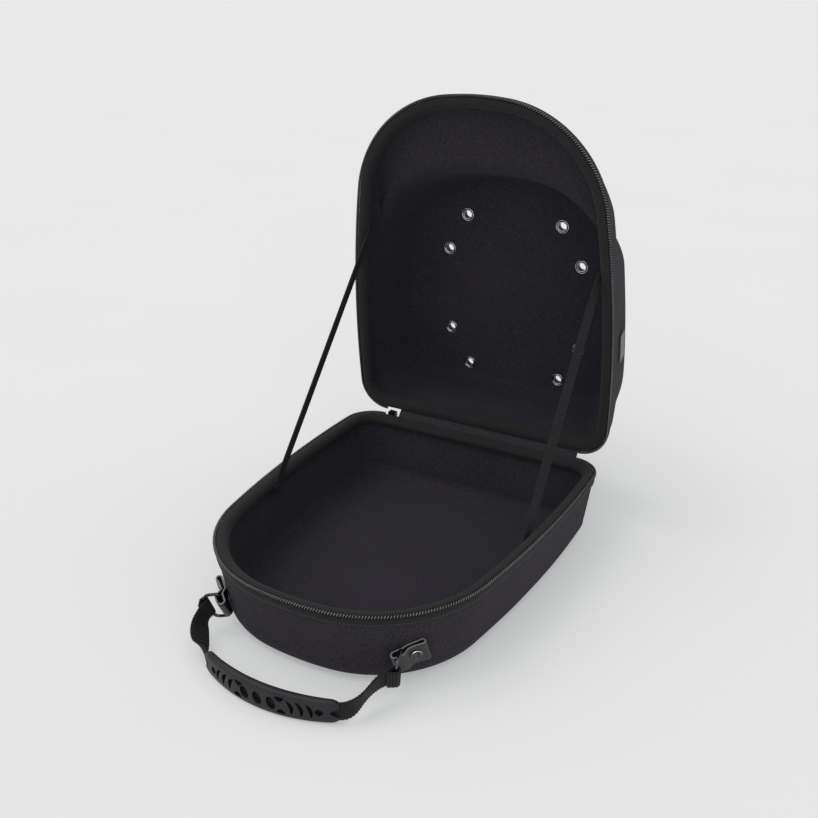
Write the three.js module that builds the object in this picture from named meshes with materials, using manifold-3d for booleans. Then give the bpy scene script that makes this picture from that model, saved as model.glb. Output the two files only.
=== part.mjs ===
// A baseball cap carrier case that stands open: a moulded tray with a round front, a domed
// lid on a cloth hinge behind it, a zip along both rims, two webbing stays and a carry handle.
// Millimetres. x is the width, the round front is at -y, the hinge at +y, z is up, and the
// origin is on the floor under the middle of the tray.
import * as THREE from 'three';
import { mergeVertices } from 'three/addons/utils/BufferGeometryUtils.js';
import Module from 'manifold-3d';

const wasm = await Module();
wasm.setup();

// Case
const WIDTH = 268;
const LENGTH = 322;
const BASE_HEIGHT = 66.5;
const LID_DEPTH = 88;
const LID_OPEN = THREE.MathUtils.degToRad(85.8);
const RIM_GAP = 4;
const WALL = 4.5;
const CLEAR = 0.3;

// Plan outline: radii as shares of the width, and the heading where the shoulder ends
const FRONT_RADIUS = 0.918;
const SIDE_RADIUS = 3.913;
const SHOULDER = { radius: 0.4015, end: THREE.MathUtils.degToRad(81.56) };
const BACK_CORNER = 29.5;

// Rim: how far in the moulded wall stands, and how far down the rim's bands reach
const RIM_SEAT = 3.2;
const EDGE_DROP = 2;
const RIM_BAND = 10;
const BINDING_RIDGE = 5.3;
const TAPE = 1;
const COIL_WIDTH = 2.5;
const COIL_HEIGHT = 2.4;

// Tray
const BASE_SLOPE = 5.8;
const BASE_ROUND = 16;

// Lid: a shallow tier in front, and a deep crown whose outline is the case's, cut short in front
const TIER_DEPTH = 27;
const CROWN_SETBACK = 64;
const CROWN_SHOULDER = { radius: 0.375, end: THREE.MathUtils.degToRad(84) };
const CROWN_CORNER = 60;
const LEDGE_FULL = 0.75;
const FRONT_SLOPE = 37;
const SIDE_SLOPE = 33;
const BACK_SLOPE = 15;
const LID_ROWS = [
  // in: share of the slope; tier, crown and down: shares of the tier's, the crown's and the
  // whole depth; onCrown: how far the front has moved from the case's outline to the crown's
  { frontIn: 0.095, tier: 0.63, crown: 0, onCrown: 0,
    sideIn: 0.02, sideDown: 0.18, backIn: 0.005, backDown: 0.205 },
  { frontIn: 0.265, tier: 0.85, crown: 0, onCrown: 0,
    sideIn: 0.04, sideDown: 0.24, backIn: 0.015, backDown: 0.295 },
  { frontIn: 0.51, tier: 0.98, crown: 0, onCrown: 0.05,
    sideIn: 0.06, sideDown: 0.295, backIn: 0.03, backDown: 0.385 },
  { frontIn: 0.24, tier: 1, crown: 0.01, onCrown: 0.55,
    sideIn: 0.075, sideDown: 0.35, backIn: 0.04, backDown: 0.475 },
  { frontIn: -0.085, tier: 1, crown: 0.025, onCrown: 1,
    sideIn: 0.095, sideDown: 0.41, backIn: 0.05, backDown: 0.57 },
  { frontIn: 0.05, tier: 1, crown: 0.1, onCrown: 1,
    sideIn: 0.12, sideDown: 0.48, backIn: 0.06, backDown: 0.65 },
  { frontIn: 0.17, tier: 1, crown: 0.295, onCrown: 1,
    sideIn: 0.165, sideDown: 0.58, backIn: 0.08, backDown: 0.715 },
  { frontIn: 0.32, tier: 1, crown: 0.575, onCrown: 1,
    sideIn: 0.23, sideDown: 0.715, backIn: 0.11, backDown: 0.785 },
  { frontIn: 0.43, tier: 1, crown: 0.74, onCrown: 1,
    sideIn: 0.33, sideDown: 0.83, backIn: 0.21, backDown: 0.865 },
  { frontIn: 0.56, tier: 1, crown: 0.877, onCrown: 1,
    sideIn: 0.495, sideDown: 0.92, backIn: 0.395, backDown: 0.937 },
  { frontIn: 0.75, tier: 1, crown: 0.967, onCrown: 1,
    sideIn: 0.72, sideDown: 0.98, backIn: 0.655, backDown: 0.986 },
  { frontIn: 1, tier: 1, crown: 1, onCrown: 1,
    sideIn: 1, sideDown: 1, backIn: 1, backDown: 1 },
];

// Eyelets in the flat of the crown: each row's way from the hinge as a share of the case's
// length, and how far apart its two are as a share of the width
const EYELET_HOLE = 4;
const EYELET_FLANGE = 6.4;
const EYELET_RIM = 0.9;
const EYELET_ROWS = [
  { fromHinge: 0.5855, apart: 0.368 },
  { fromHinge: 0.4705, apart: 0.5215 },
  { fromHinge: 0.2035, apart: 0.5215 },
  { fromHinge: 0.0885, apart: 0.368 },
];

// Webbing stays
const STAY_WIDTH = 8;
const STAY_THICK = 1.5;
const STAY_DROP = 6;
const STAYS = [
  // how far from the hinge along the lid's rim and the tray's, how far under the tray's rim,
  // and by how many degrees it is turned on its way
  { name: 'left', side: -1, lidFromHinge: 189, baseFromHinge: 173, lowDrop: 6, turn: 0 },
  { name: 'right', side: 1, lidFromHinge: 178, baseFromHinge: 152, lowDrop: 11, turn: 57 },
];
const FOOT_SIZE = 13;
const FOOT_THICK = 1.2;

// Hinge strip, zip slider and its pull
const HINGE_THICK = 1.2;
const HINGE_LAP = 10;
const SLIDER = { length: 8, width: 6.5, height: 5 };
const PULL = { width: 7, length: 26, thick: 1.6 };

// Side patch
const PATCH = { fromHinge: 100, down: 38, length: 26, height: 18, thick: 1 };

// Handle tabs: a folded strip held by a rivet, its loose end round the ring's bar. The ring
// hangs upright in it, leaning out at the top, and pulls the strip's loose end out with it.
const TAB_LENGTH = 29;
const TAB_WIDTH = 17.6;
const TAB_TAPER = 0.04;
const TAB_THICK = 1.5;
const TAB_DEPTH = 7.5;
const TAB_PINCH = 5;
const TAB_BELLY = 8.2;
const TAB_RISE = 30;
const TAB_DROOP = THREE.MathUtils.degToRad(16);
const RIVET_CAP = 4.6;
const RIVET_POST = 2;
const RIVET_CAP_HIGH = 1.4;
const RIVET_FROM_FOLD = 10.5;
const TABS = [
  // angles in degrees; leave: the way in which the strap leaves the ring, turned: where its
  // upper edge points half way to the grip
  { name: 'left', side: -1, heading: 39.5, lean: 12, swing: 34,
    leave: [0.22, -0.93, -0.3], turned: [-0.82, -0.19, 0.53] },
  { name: 'right', side: 1, heading: 46, lean: 3, swing: -28,
    leave: [-0.6, -0.75, -0.3], turned: [0.3, 0.2, 0.93] },
].map(({ heading, lean, swing, leave, turned, ...rest }) => ({
  ...rest,
  leave: new THREE.Vector3(...leave),
  turned: new THREE.Vector3(...turned),
  heading: THREE.MathUtils.degToRad(heading),
  lean: THREE.MathUtils.degToRad(lean),
  swing: THREE.MathUtils.degToRad(swing),
}));

// Rings
const RING_WIRE = 1.3;
const RING_INNER = 21;
const RING_DEPTH = 14;
const RING_BAR_CORNER = 1.7;
const RING_FAR_CORNER = 7;
const RING_BAR_AT = 5.9;

// Handle: one webbing strap from ring to ring, with a moulded grip on it
const STRAP_WIDTH = 16;
const STRAP_THICK = 1.6;
const EYE_SLACK = 1.1;
const EYE_TAIL = 14;
const GRIP_REACH = 43.3;
const GRIP_RADIUS = 142;
const GRIP_SHIFT = 5;
const GRIP_LENGTH = 126;
const GRIP_HEIGHT = 21.5;
const GRIP_END_HEIGHT = 18.6;
const GRIP_THICK = 8;
const GRIP_END_THICK = 6;
const GRIP_CUTS = [
  // along: share of half the grip's length, up: share of half its height, both from the middle;
  // long and wide: half sizes as the same shares, turn in degrees
  { name: 'oval', along: 0, up: 0, long: 0.36, wide: 0.055, turn: 18 },
  { name: 'oval', along: 0.17, up: 0, long: 0.36, wide: 0.055, turn: 18 },
  { name: 'oval', along: -0.17, up: 0, long: 0.36, wide: 0.055, turn: 18 },
  { name: 'wedge', along: 0.28, up: 0.42, long: 0.12, wide: 0.045, turn: 0 },
  { name: 'wedge', along: 0.32, up: -0.42, long: 0.12, wide: 0.045, turn: 180 },
  { name: 'wedge', along: -0.28, up: 0.42, long: 0.12, wide: 0.045, turn: 0 },
  { name: 'wedge', along: -0.32, up: -0.42, long: 0.12, wide: 0.045, turn: 180 },
  { name: 'crescent', along: 0.44, up: 0, long: 0.46, wide: 0.055, turn: 28 },
  { name: 'crescent', along: 0.59, up: 0, long: 0.5, wide: 0.06, turn: 28 },
  { name: 'crescent', along: -0.44, up: 0, long: 0.46, wide: 0.055, turn: -28 },
  { name: 'crescent', along: -0.59, up: 0, long: 0.5, wide: 0.06, turn: -28 },
  { name: 'drop', along: 0.75, up: 0, long: 0.2, wide: 0.035, turn: 0 },
  { name: 'drop', along: -0.75, up: 0, long: 0.2, wide: 0.035, turn: 0 },
];

const FABRIC = { color: 0x2a282c, roughness: 0.92, metalness: 0 };
const WEBBING = { color: 0x161617, roughness: 0.8, metalness: 0 };
const LEATHERETTE = { color: 0x1c1c1f, roughness: 0.45, metalness: 0 };
const RUBBER = { color: 0x2b2b2f, roughness: 0.6, metalness: 0 };
const BLACK_METAL = { color: 0x1a1a1c, roughness: 0.35, metalness: 0.8 };
const SILVER = { color: 0xb9bbbd, roughness: 0.3, metalness: 0.9 };
const COIL = { color: 0x3a3d3c, roughness: 0.5, metalness: 0 };

const HINGE_Y = LENGTH / 2;
const HINGE_Z = BASE_HEIGHT + RIM_GAP / 2;

const lerp = THREE.MathUtils.lerp;
const smoothstep = THREE.MathUtils.smoothstep;
const vec = (x, y, z) => new THREE.Vector3(x, y, z);

// Solids from lists of rings

function closedGeometry(points, triangles) {
  let volume = 0;
  const cross = new THREE.Vector3();
  for (const [a, b, c] of triangles) {
    volume += points[a].dot(cross.crossVectors(points[b], points[c]));
  }
  const index = triangles.flatMap(([a, b, c]) => (volume > 0 ? [a, b, c] : [a, c, b]));
  const geometry = new THREE.BufferGeometry();
  geometry.setAttribute('position', new THREE.Float32BufferAttribute(points.flatMap((p) => p.toArray()), 3));
  geometry.setIndex(index);
  geometry.computeVertexNormals();
  return geometry;
}

// Rings of equal length, joined in order; 'fan' ends close on a middle point, 'flat' ends
// are triangulated in the plane of the section, and a loop joins the last ring to the first
function loft(rings, { ends = 'fan', section = null } = {}) {
  const count = rings[0].length;
  const points = rings.flat();
  const triangles = [];
  const rows = ends === 'loop' ? rings.length : rings.length - 1;
  for (let row = 0; row < rows; row += 1) {
    const here = row * count;
    const there = ((row + 1) % rings.length) * count;
    for (let k = 0; k < count; k += 1) {
      const next = (k + 1) % count;
      triangles.push([here + k, here + next, there + next], [here + k, there + next, there + k]);
    }
  }
  const last = (rings.length - 1) * count;
  if (ends === 'fan') {
    for (const [start, flip] of [[0, true], [last, false]]) {
      const middle = points.slice(start, start + count)
        .reduce((sum, p) => sum.add(p), new THREE.Vector3()).divideScalar(count);
      points.push(middle);
      for (let k = 0; k < count; k += 1) {
        const pair = [start + k, start + ((k + 1) % count)];
        triangles.push(flip ? [pair[1], pair[0], points.length - 1] : [pair[0], pair[1], points.length - 1]);
      }
    }
  }
  if (ends === 'flat') {
    for (const [a, b, c] of THREE.ShapeUtils.triangulateShape(section, [])) {
      const facing = THREE.ShapeUtils.isClockWise(section);
      triangles.push(facing ? [a, b, c] : [c, b, a]);
      triangles.push(facing ? [last + c, last + b, last + a] : [last + a, last + b, last + c]);
    }
  }
  return closedGeometry(points, triangles);
}

function toSolid(geometry) {
  const bare = geometry.clone();
  bare.deleteAttribute('normal');
  bare.deleteAttribute('uv');
  const merged = mergeVertices(bare, 1e-4);
  return new wasm.Manifold(new wasm.Mesh({
    numProp: 3,
    vertProperties: new Float32Array(merged.attributes.position.array),
    triVerts: new Uint32Array(merged.index.array),
  }));
}

function fromSolid(solid) {
  const mesh = solid.getMesh();
  const geometry = new THREE.BufferGeometry();
  geometry.setAttribute('position', new THREE.BufferAttribute(new Float32Array(mesh.vertProperties), 3));
  geometry.setIndex(new THREE.BufferAttribute(new Uint32Array(mesh.triVerts), 1));
  geometry.computeVertexNormals();
  return geometry;
}

// Plan outline of the case

function planStations(length, bend, corner) {
  const front = FRONT_RADIUS * WIDTH;
  const shoulder = bend.radius * WIDTH;
  const side = SIDE_RADIUS * WIDTH;
  const rise = Math.sin(bend.end);
  const frontEnd = Math.asin((WIDTH / 2 - shoulder * rise - side * (1 - rise)) / (front - shoulder));
  const centre = (from, change, turn) => ({
    x: from.x + change * Math.sin(turn),
    y: from.y - change * Math.cos(turn),
  });
  const frontCentre = { x: 0, y: LENGTH / 2 - length + front };
  const shoulderCentre = centre(frontCentre, front - shoulder, frontEnd);
  const sideCentre = centre(shoulderCentre, shoulder - side, bend.end);
  const sideEnd = Math.acos((sideCentre.y + corner - LENGTH / 2) / (side - corner));
  const cornerCentre = centre(sideCentre, side - corner, sideEnd);
  const arcs = [
    { ...frontCentre, radius: front, from: 0, to: frontEnd, steps: 2 },
    { ...shoulderCentre, radius: shoulder, from: frontEnd, to: bend.end, steps: 9 },
    { ...sideCentre, radius: side, from: bend.end, to: sideEnd, steps: 5 },
    { ...cornerCentre, radius: corner, from: sideEnd, to: Math.PI, steps: 5 },
  ];
  const half = [{ ...frontCentre, radius: front, turn: 0, zip: true }];
  for (const arc of arcs) {
    for (let step = 1; step <= arc.steps; step += 1) {
      const turn = lerp(arc.from, arc.to, step / arc.steps);
      half.push({ x: arc.x, y: arc.y, radius: arc.radius, turn, zip: true });
    }
  }
  const backSteps = 3;
  for (let step = 1; step <= backSteps; step += 1) {
    const x = cornerCentre.x * (1 - step / backSteps);
    half.push({ x, y: cornerCentre.y, radius: corner, turn: Math.PI, zip: false });
  }
  const right = half.map((station) => ({ ...station, side: 1 }));
  const left = half.slice(1, -1).reverse().map((station) => ({ ...station, side: -1 }));
  return { ring: [...right, ...left], shoulderCentre, shoulder, sideCentre, side, backHalf: cornerCentre.x };
}

const PLAN = planStations(LENGTH, SHOULDER, BACK_CORNER);
const CROWN_PLAN = planStations(LENGTH - CROWN_SETBACK, CROWN_SHOULDER, CROWN_CORNER);

function planPoint(station, inset, z) {
  const reach = station.radius - inset;
  return vec(
    station.side * (station.x + reach * Math.sin(station.turn)),
    station.y - reach * Math.cos(station.turn),
    z,
  );
}

// Half the case's width at a place along its side, for a given inset
function halfWidth(y, inset) {
  const reach = PLAN.side - inset;
  return PLAN.sideCentre.x + Math.sqrt(reach ** 2 - (y - PLAN.sideCentre.y) ** 2);
}

// Moulded shells: an outer surface of rows from the rim, and the same moved in by the wall

function thickened(rows) {
  const count = rows[0].length;
  const way = Math.sign(rows[0][0].z - rows.at(-1)[0].z);
  return rows.map((row, r) => row.map((point, k) => {
    if (r < 2) {
      const station = PLAN.ring[k];
      return planPoint(station, RIM_SEAT + WALL, point.z);
    }
    const along = rows[Math.min(r + 1, rows.length - 1)][k].clone().sub(rows[r - 1][k]);
    const around = row[(k + 1) % count].clone().sub(row[(k - 1 + count) % count]);
    const normal = new THREE.Vector3().crossVectors(around, along).normalize();
    return r === rows.length - 1
      ? point.clone().add(vec(0, 0, way * WALL))
      : point.clone().addScaledVector(normal, way * WALL);
  }));
}

function shell(rows) {
  return loft([...rows].reverse().concat(thickened(rows)));
}

function baseRows() {
  const profile = [
    { inset: RIM_SEAT, z: BASE_HEIGHT - EDGE_DROP },
    { inset: RIM_SEAT, z: BASE_HEIGHT - RIM_BAND },
    { inset: RIM_SEAT + BASE_SLOPE / 2, z: (BASE_HEIGHT - RIM_BAND + BASE_ROUND) / 2 },
  ];
  const steps = 5;
  for (let step = 0; step <= steps; step += 1) {
    const turn = (step / steps) * Math.PI / 2;
    profile.push({
      inset: RIM_SEAT + BASE_SLOPE + BASE_ROUND * (1 - Math.cos(turn)),
      z: BASE_ROUND * (1 - Math.sin(turn)),
    });
  }
  return profile.map(({ inset, z }) => PLAN.ring.map((station) => planPoint(station, inset, z)));
}

// The lid is drawn closed, with its rim plane just above the tray's
const LID_RIM = BASE_HEIGHT + RIM_GAP;

function lidRows() {
  const rows = [EDGE_DROP, RIM_BAND].map((drop) => (
    PLAN.ring.map((station) => planPoint(station, RIM_SEAT, LID_RIM + drop))
  ));
  for (const row of LID_ROWS) {
    const frontDown = row.tier * TIER_DEPTH + row.crown * (LID_DEPTH - TIER_DEPTH);
    rows.push(PLAN.ring.map((station, k) => {
      const crown = CROWN_PLAN.ring[k];
      const front = smoothstep(Math.cos(station.turn), Math.cos(SHOULDER.end), LEDGE_FULL);
      const back = smoothstep(station.turn, Math.PI / 2, Math.PI);
      const blend = (fore, side, aft) => lerp(lerp(side, aft, back), fore, front);
      const slope = blend(row.frontIn * FRONT_SLOPE, row.sideIn * SIDE_SLOPE, row.backIn * BACK_SLOPE);
      const inset = RIM_SEAT + slope;
      const z = LID_RIM + blend(frontDown, row.sideDown * LID_DEPTH, row.backDown * LID_DEPTH);
      const onCrown = lerp(row.onCrown, row.sideDown, back);
      return planPoint(station, inset, z).lerp(planPoint(crown, inset, z), onCrown);
    }));
  }
  return rows;
}

// How far in the lid's side wall stands at a depth, clear of the tier
function lidSideInset(depth) {
  const share = depth / LID_DEPTH;
  const next = LID_ROWS.findIndex((row) => row.sideDown > share);
  const [low, high] = [LID_ROWS[next - 1], LID_ROWS[next]];
  const part = (share - low.sideDown) / (high.sideDown - low.sideDown);
  return RIM_SEAT + SIDE_SLOPE * lerp(low.sideIn, high.sideIn, part);
}

function eyeletPlaces() {
  return EYELET_ROWS.flatMap(({ fromHinge, apart }) => (
    [-1, 1].map((side) => vec(side * apart * WIDTH / 2, HINGE_Y - fromHinge * LENGTH, LID_RIM + LID_DEPTH))
  ));
}

function lidShell() {
  let solid = toSolid(shell(lidRows()));
  for (const place of eyeletPlaces()) {
    const hole = new THREE.CylinderGeometry(EYELET_HOLE + EYELET_RIM, EYELET_HOLE + EYELET_RIM, 4 * WALL, 12);
    hole.rotateX(Math.PI / 2).translate(place.x, place.y, place.z);
    solid = solid.subtract(toSolid(hole));
  }
  return fromSolid(solid);
}

// Bands along a rim; 'down' is measured from the rim plane into the half, 'way' is its sign

function band(section, { zipOnly, rim, way }) {
  const stations = zipOnly ? zipStations() : PLAN.ring;
  const rings = stations.map((station) => section.map(({ inset, down }) => (
    planPoint(station, inset, rim + way * down)
  )));
  const flat = section.map(({ inset, down }) => new THREE.Vector2(inset, down));
  return loft(rings, zipOnly ? { ends: 'flat', section: flat } : { ends: 'loop' });
}

// The zip runs from one back corner round the front to the other
function zipStations() {
  const right = PLAN.ring.filter((station) => station.side === 1 && station.zip);
  const left = PLAN.ring.filter((station) => station.side === -1 && station.zip);
  return [...left, ...right];
}

function bindingSection() {
  const seat = RIM_SEAT + WALL;
  const cover = EDGE_DROP - CLEAR;
  return [
    { inset: RIM_SEAT, down: cover },
    { inset: RIM_SEAT, down: cover * 0.3 },
    { inset: RIM_SEAT + WALL * 0.35, down: 0 },
    { inset: seat + BINDING_RIDGE * 0.25, down: RIM_BAND * 0.07 },
    { inset: seat + BINDING_RIDGE * 0.8, down: RIM_BAND * 0.32 },
    { inset: seat + BINDING_RIDGE, down: RIM_BAND * 0.6 },
    { inset: seat + BINDING_RIDGE * 0.7, down: RIM_BAND * 0.9 },
    { inset: seat + CLEAR, down: RIM_BAND },
    { inset: seat + CLEAR, down: cover },
  ];
}

function tapeSection() {
  const face = RIM_SEAT - CLEAR;
  const top = EDGE_DROP + CLEAR;
  return [
    { inset: face, down: top },
    { inset: face - TAPE, down: top },
    { inset: face - TAPE, down: RIM_BAND },
    { inset: face, down: RIM_BAND },
  ];
}

function coilSection() {
  const middle = RIM_SEAT - 2 * CLEAR - COIL_WIDTH / 2;
  const low = EDGE_DROP;
  return [
    { inset: middle - COIL_WIDTH / 2, down: low - COIL_HEIGHT * 0.5 },
    { inset: middle - COIL_WIDTH / 4, down: low },
    { inset: middle + COIL_WIDTH / 4, down: low },
    { inset: middle + COIL_WIDTH / 2, down: low - COIL_HEIGHT * 0.5 },
    { inset: middle + COIL_WIDTH / 4, down: low - COIL_HEIGHT },
    { inset: middle - COIL_WIDTH / 4, down: low - COIL_HEIGHT },
  ];
}

// Places on the closed lid, swung open about the hinge line
function swung(point) {
  const hinge = vec(0, HINGE_Y, HINGE_Z);
  return point.clone().sub(hinge).applyAxisAngle(vec(1, 0, 0), -LID_OPEN).add(hinge);
}

// The hinge: cloth from the tray's back wall over the fold to the lid's
function hingeStrip() {
  const inner = HINGE_Y - RIM_SEAT + CLEAR;
  const outer = inner + HINGE_THICK;
  const low = [
    { y: inner, z: BASE_HEIGHT - HINGE_LAP },
    { y: inner, z: BASE_HEIGHT - EDGE_DROP },
  ];
  const section = [
    ...low.map(({ y, z }) => vec(0, y, z)),
    swung(vec(0, inner, LID_RIM + EDGE_DROP)),
    swung(vec(0, inner, LID_RIM + HINGE_LAP)),
    swung(vec(0, outer, LID_RIM + HINGE_LAP)),
    swung(vec(0, outer, LID_RIM + 2 * EDGE_DROP)),
    vec(0, outer, BASE_HEIGHT - 2 * EDGE_DROP),
    vec(0, outer, BASE_HEIGHT - HINGE_LAP),
  ];
  const flat = section.map(({ y, z }) => new THREE.Vector2(y, z));
  const from = SLIDER.length * 2 - PLAN.backHalf;
  const rings = [from, PLAN.backHalf].map((x) => section.map((p) => p.clone().setX(x)));
  return loft(rings, { ends: 'flat', section: flat });
}

function box(length, width, height) {
  return new THREE.BoxGeometry(length, width, height);
}

function slider() {
  const { length, width, height } = SLIDER;
  const shape = new THREE.Shape();
  shape.moveTo(-length / 2, -width / 2);
  shape.lineTo(length / 2, -width / 3);
  shape.lineTo(length / 2, width / 3);
  shape.lineTo(-length / 2, width / 2);
  shape.closePath();
  return new THREE.ExtrudeGeometry(shape, { depth: height, bevelEnabled: false, steps: 1 })
    .translate(0, 0, -height);
}

function pull() {
  const { width, length, thick } = PULL;
  const shape = new THREE.Shape();
  shape.moveTo(-width / 3, 0);
  shape.lineTo(width / 3, 0);
  shape.lineTo(width / 2, -length * 0.8);
  shape.absarc(0, -length * 0.8, width / 2, 0, -Math.PI, true);
  shape.closePath();
  return new THREE.ExtrudeGeometry(shape, { depth: thick, bevelEnabled: false, curveSegments: 8 })
    .rotateX(Math.PI / 2);
}

// Stays: flat webbing from the lid's binding down to the tray's, turned by a share on its way

function stayEnds({ side, lidFromHinge, baseFromHinge, lowDrop }) {
  const inset = RIM_SEAT + WALL + BINDING_RIDGE + CLEAR + STAY_THICK / 2;
  const lidY = HINGE_Y - lidFromHinge;
  const baseY = HINGE_Y - baseFromHinge;
  return {
    top: swung(vec(side * halfWidth(lidY, inset), lidY, LID_RIM + STAY_DROP)),
    foot: vec(side * halfWidth(baseY, inset), baseY, BASE_HEIGHT - lowDrop),
  };
}

function stay(place) {
  const { top, foot } = stayEnds(place);
  const run = foot.clone().sub(top).normalize();
  const across = new THREE.Vector3().crossVectors(run, vec(1, 0, 0)).normalize();
  const steps = 8;
  const rings = [];
  for (let step = 0; step <= steps; step += 1) {
    const share = step / steps;
    const middle = top.clone().lerp(foot, share);
    const turn = THREE.MathUtils.degToRad(place.turn) * Math.sin(Math.PI * share) ** 0.6;
    const wide = across.clone().applyAxisAngle(run, turn);
    const thin = new THREE.Vector3().crossVectors(run, wide);
    rings.push([[-1, -1], [1, -1], [1, 1], [-1, 1]].map(([u, v]) => (
      middle.clone().addScaledVector(wide, u * STAY_WIDTH / 2).addScaledVector(thin, v * STAY_THICK / 2)
    )));
  }
  return loft(rings, {
    ends: 'flat',
    section: [[-1, -1], [1, -1], [1, 1], [-1, 1]].map(([u, v]) => new THREE.Vector2(u, v)),
  });
}

// The folded three-cornered end under each stay, flat against the tray's binding
function stayFoot(place) {
  const { foot } = stayEnds(place);
  const shape = new THREE.Shape();
  shape.moveTo(-FOOT_SIZE / 2, 0);
  shape.lineTo(FOOT_SIZE / 2, -FOOT_SIZE * 0.2);
  shape.lineTo(-FOOT_SIZE * 0.1, -FOOT_SIZE * 0.75);
  shape.closePath();
  const flap = new THREE.ExtrudeGeometry(shape, { depth: FOOT_THICK, bevelEnabled: false });
  flap.rotateX(Math.PI / 2).rotateZ(Math.PI / 2);
  const face = Math.abs(foot.x) - STAY_THICK / 2 - CLEAR;
  const x = place.side > 0 ? face - FOOT_THICK : -face;
  return flap.translate(x, foot.y, foot.z + STAY_WIDTH / 4);
}

// Eyelets: a tube through the crown with a flange on both faces

function eyelet() {
  const inner = EYELET_HOLE;
  const body = EYELET_HOLE + EYELET_RIM - CLEAR;
  const high = CLEAR + EYELET_RIM;
  const profile = [
    [inner, -WALL - high], [body, -WALL - high], [EYELET_FLANGE, -WALL - CLEAR],
    [body, -WALL - CLEAR], [body, CLEAR], [EYELET_FLANGE, CLEAR], [body, high], [inner, high],
    [inner, -WALL - high],
  ].map(([x, y]) => new THREE.Vector2(x, y));
  return new THREE.LatheGeometry(profile, 12).rotateX(Math.PI / 2);
}

// A plain patch on the lid's right side, lying on the wall's slope
function patch(group) {
  const y = HINGE_Y - PATCH.fromHinge;
  const [high, low] = [PATCH.down - PATCH.height / 2, PATCH.down + PATCH.height / 2];
  const tilt = Math.atan2(lidSideInset(low) - lidSideInset(high), PATCH.height);
  const middle = (lidSideInset(low) + lidSideInset(high)) / 2;
  const bulge = Math.max(0, middle - lidSideInset(PATCH.down));
  const off = 1.5 * CLEAR + bulge + PATCH.thick / 2;
  const ends = [-1, 1].map((end) => halfWidth(y + end * PATCH.length / 2, middle));
  const geometry = box(PATCH.thick, PATCH.length, PATCH.height);
  const mesh = add(group, 'side_patch', geometry, LEATHERETTE);
  mesh.position.set(halfWidth(y, middle) + off, y, LID_RIM + PATCH.down);
  mesh.rotation.set(0, -tilt, Math.atan2(ends[0] - ends[1], PATCH.length));
}

// Handle tabs, rivets and rings share a frame on the tray's shoulder wall: x runs from the
// loose end to the fold, y points out of the wall, z across the strip, origin at the rivet

function wallInset(z) {
  const top = BASE_HEIGHT - RIM_BAND;
  const share = THREE.MathUtils.clamp((top - z) / (top - BASE_ROUND), 0, 1);
  return RIM_SEAT + BASE_SLOPE * share;
}

function tabFrame({ side, heading }) {
  const reach = PLAN.shoulder - wallInset(TAB_RISE);
  const place = vec(
    side * (PLAN.shoulderCentre.x + reach * Math.sin(heading)),
    PLAN.shoulderCentre.y - reach * Math.cos(heading),
    TAB_RISE,
  );
  const draft = Math.atan2(BASE_SLOPE, BASE_HEIGHT - RIM_BAND - BASE_ROUND);
  const out = vec(side * Math.sin(heading), -Math.cos(heading), 0)
    .multiplyScalar(Math.cos(draft)).add(vec(0, 0, -Math.sin(draft)));
  const level = vec(side * Math.cos(heading), Math.sin(heading), 0);
  const fold = level.applyAxisAngle(out, side * TAB_DROOP).normalize();
  const across = new THREE.Vector3().crossVectors(fold, out);
  return new THREE.Matrix4().makeBasis(fold, out, across).setPosition(place.addScaledVector(out, CLEAR));
}

function tabOutline(inward) {
  const loose = RIVET_FROM_FOLD - TAB_LENGTH;
  const half = TAB_DEPTH / 2 - inward;
  const points = [];
  const middle = TAB_DEPTH / 2;
  const steps = 8;
  for (let step = 0; step <= steps; step += 1) {
    const turn = Math.PI * (0.5 + step / steps);
    points.push([loose + middle + half * Math.cos(turn), middle + half * Math.sin(turn)]);
  }
  points.push([-TAB_BELLY, inward], [-2 * RIVET_POST, inward]);
  const foldHalf = TAB_DEPTH * 0.38 - inward;
  const foldAt = RIVET_FROM_FOLD - TAB_DEPTH * 0.38;
  for (let step = 0; step <= steps; step += 1) {
    const turn = Math.PI * (1.5 + step / steps);
    points.push([foldAt + foldHalf * Math.cos(turn), TAB_DEPTH * 0.38 + foldHalf * Math.sin(turn)]);
  }
  points.push([2 * RIVET_POST, TAB_PINCH - inward], [-2 * RIVET_POST, TAB_PINCH - inward]);
  points.push([-TAB_BELLY, 0.97 * TAB_DEPTH - inward]);
  return points.map(([x, y]) => new THREE.Vector2(x, y));
}

// How far the ring's lean pulls the strip out of the wall at a place on it
function tabPull({ side, lean }, x, z) {
  const share = THREE.MathUtils.clamp((-2 * RIVET_POST - x) / (TAB_BELLY - 2 * RIVET_POST), 0, 1);
  return share * Math.tan(lean) * (TAB_WIDTH / 2 - side * z);
}

function tab(place) {
  const shape = new THREE.Shape(tabOutline(0));
  shape.holes.push(new THREE.Path(tabOutline(TAB_THICK).reverse()));
  const strip = new THREE.ExtrudeGeometry(shape, { depth: TAB_WIDTH, bevelEnabled: false, steps: 1 });
  strip.translate(0, 0, -TAB_WIDTH / 2);
  const spots = strip.attributes.position;
  for (let k = 0; k < spots.count; k += 1) {
    spots.setY(k, spots.getY(k) + tabPull(place, spots.getX(k), spots.getZ(k)));
    const share = THREE.MathUtils.inverseLerp(RIVET_FROM_FOLD - TAB_LENGTH, RIVET_FROM_FOLD, spots.getX(k));
    spots.setZ(k, spots.getZ(k) * lerp(1 - TAB_TAPER, 1 + TAB_TAPER, share));
  }
  const hole = new THREE.CylinderGeometry(RIVET_POST + CLEAR, RIVET_POST + CLEAR, 4 * TAB_DEPTH, 10);
  return fromSolid(toSolid(strip).subtract(toSolid(hole)));
}

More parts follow.
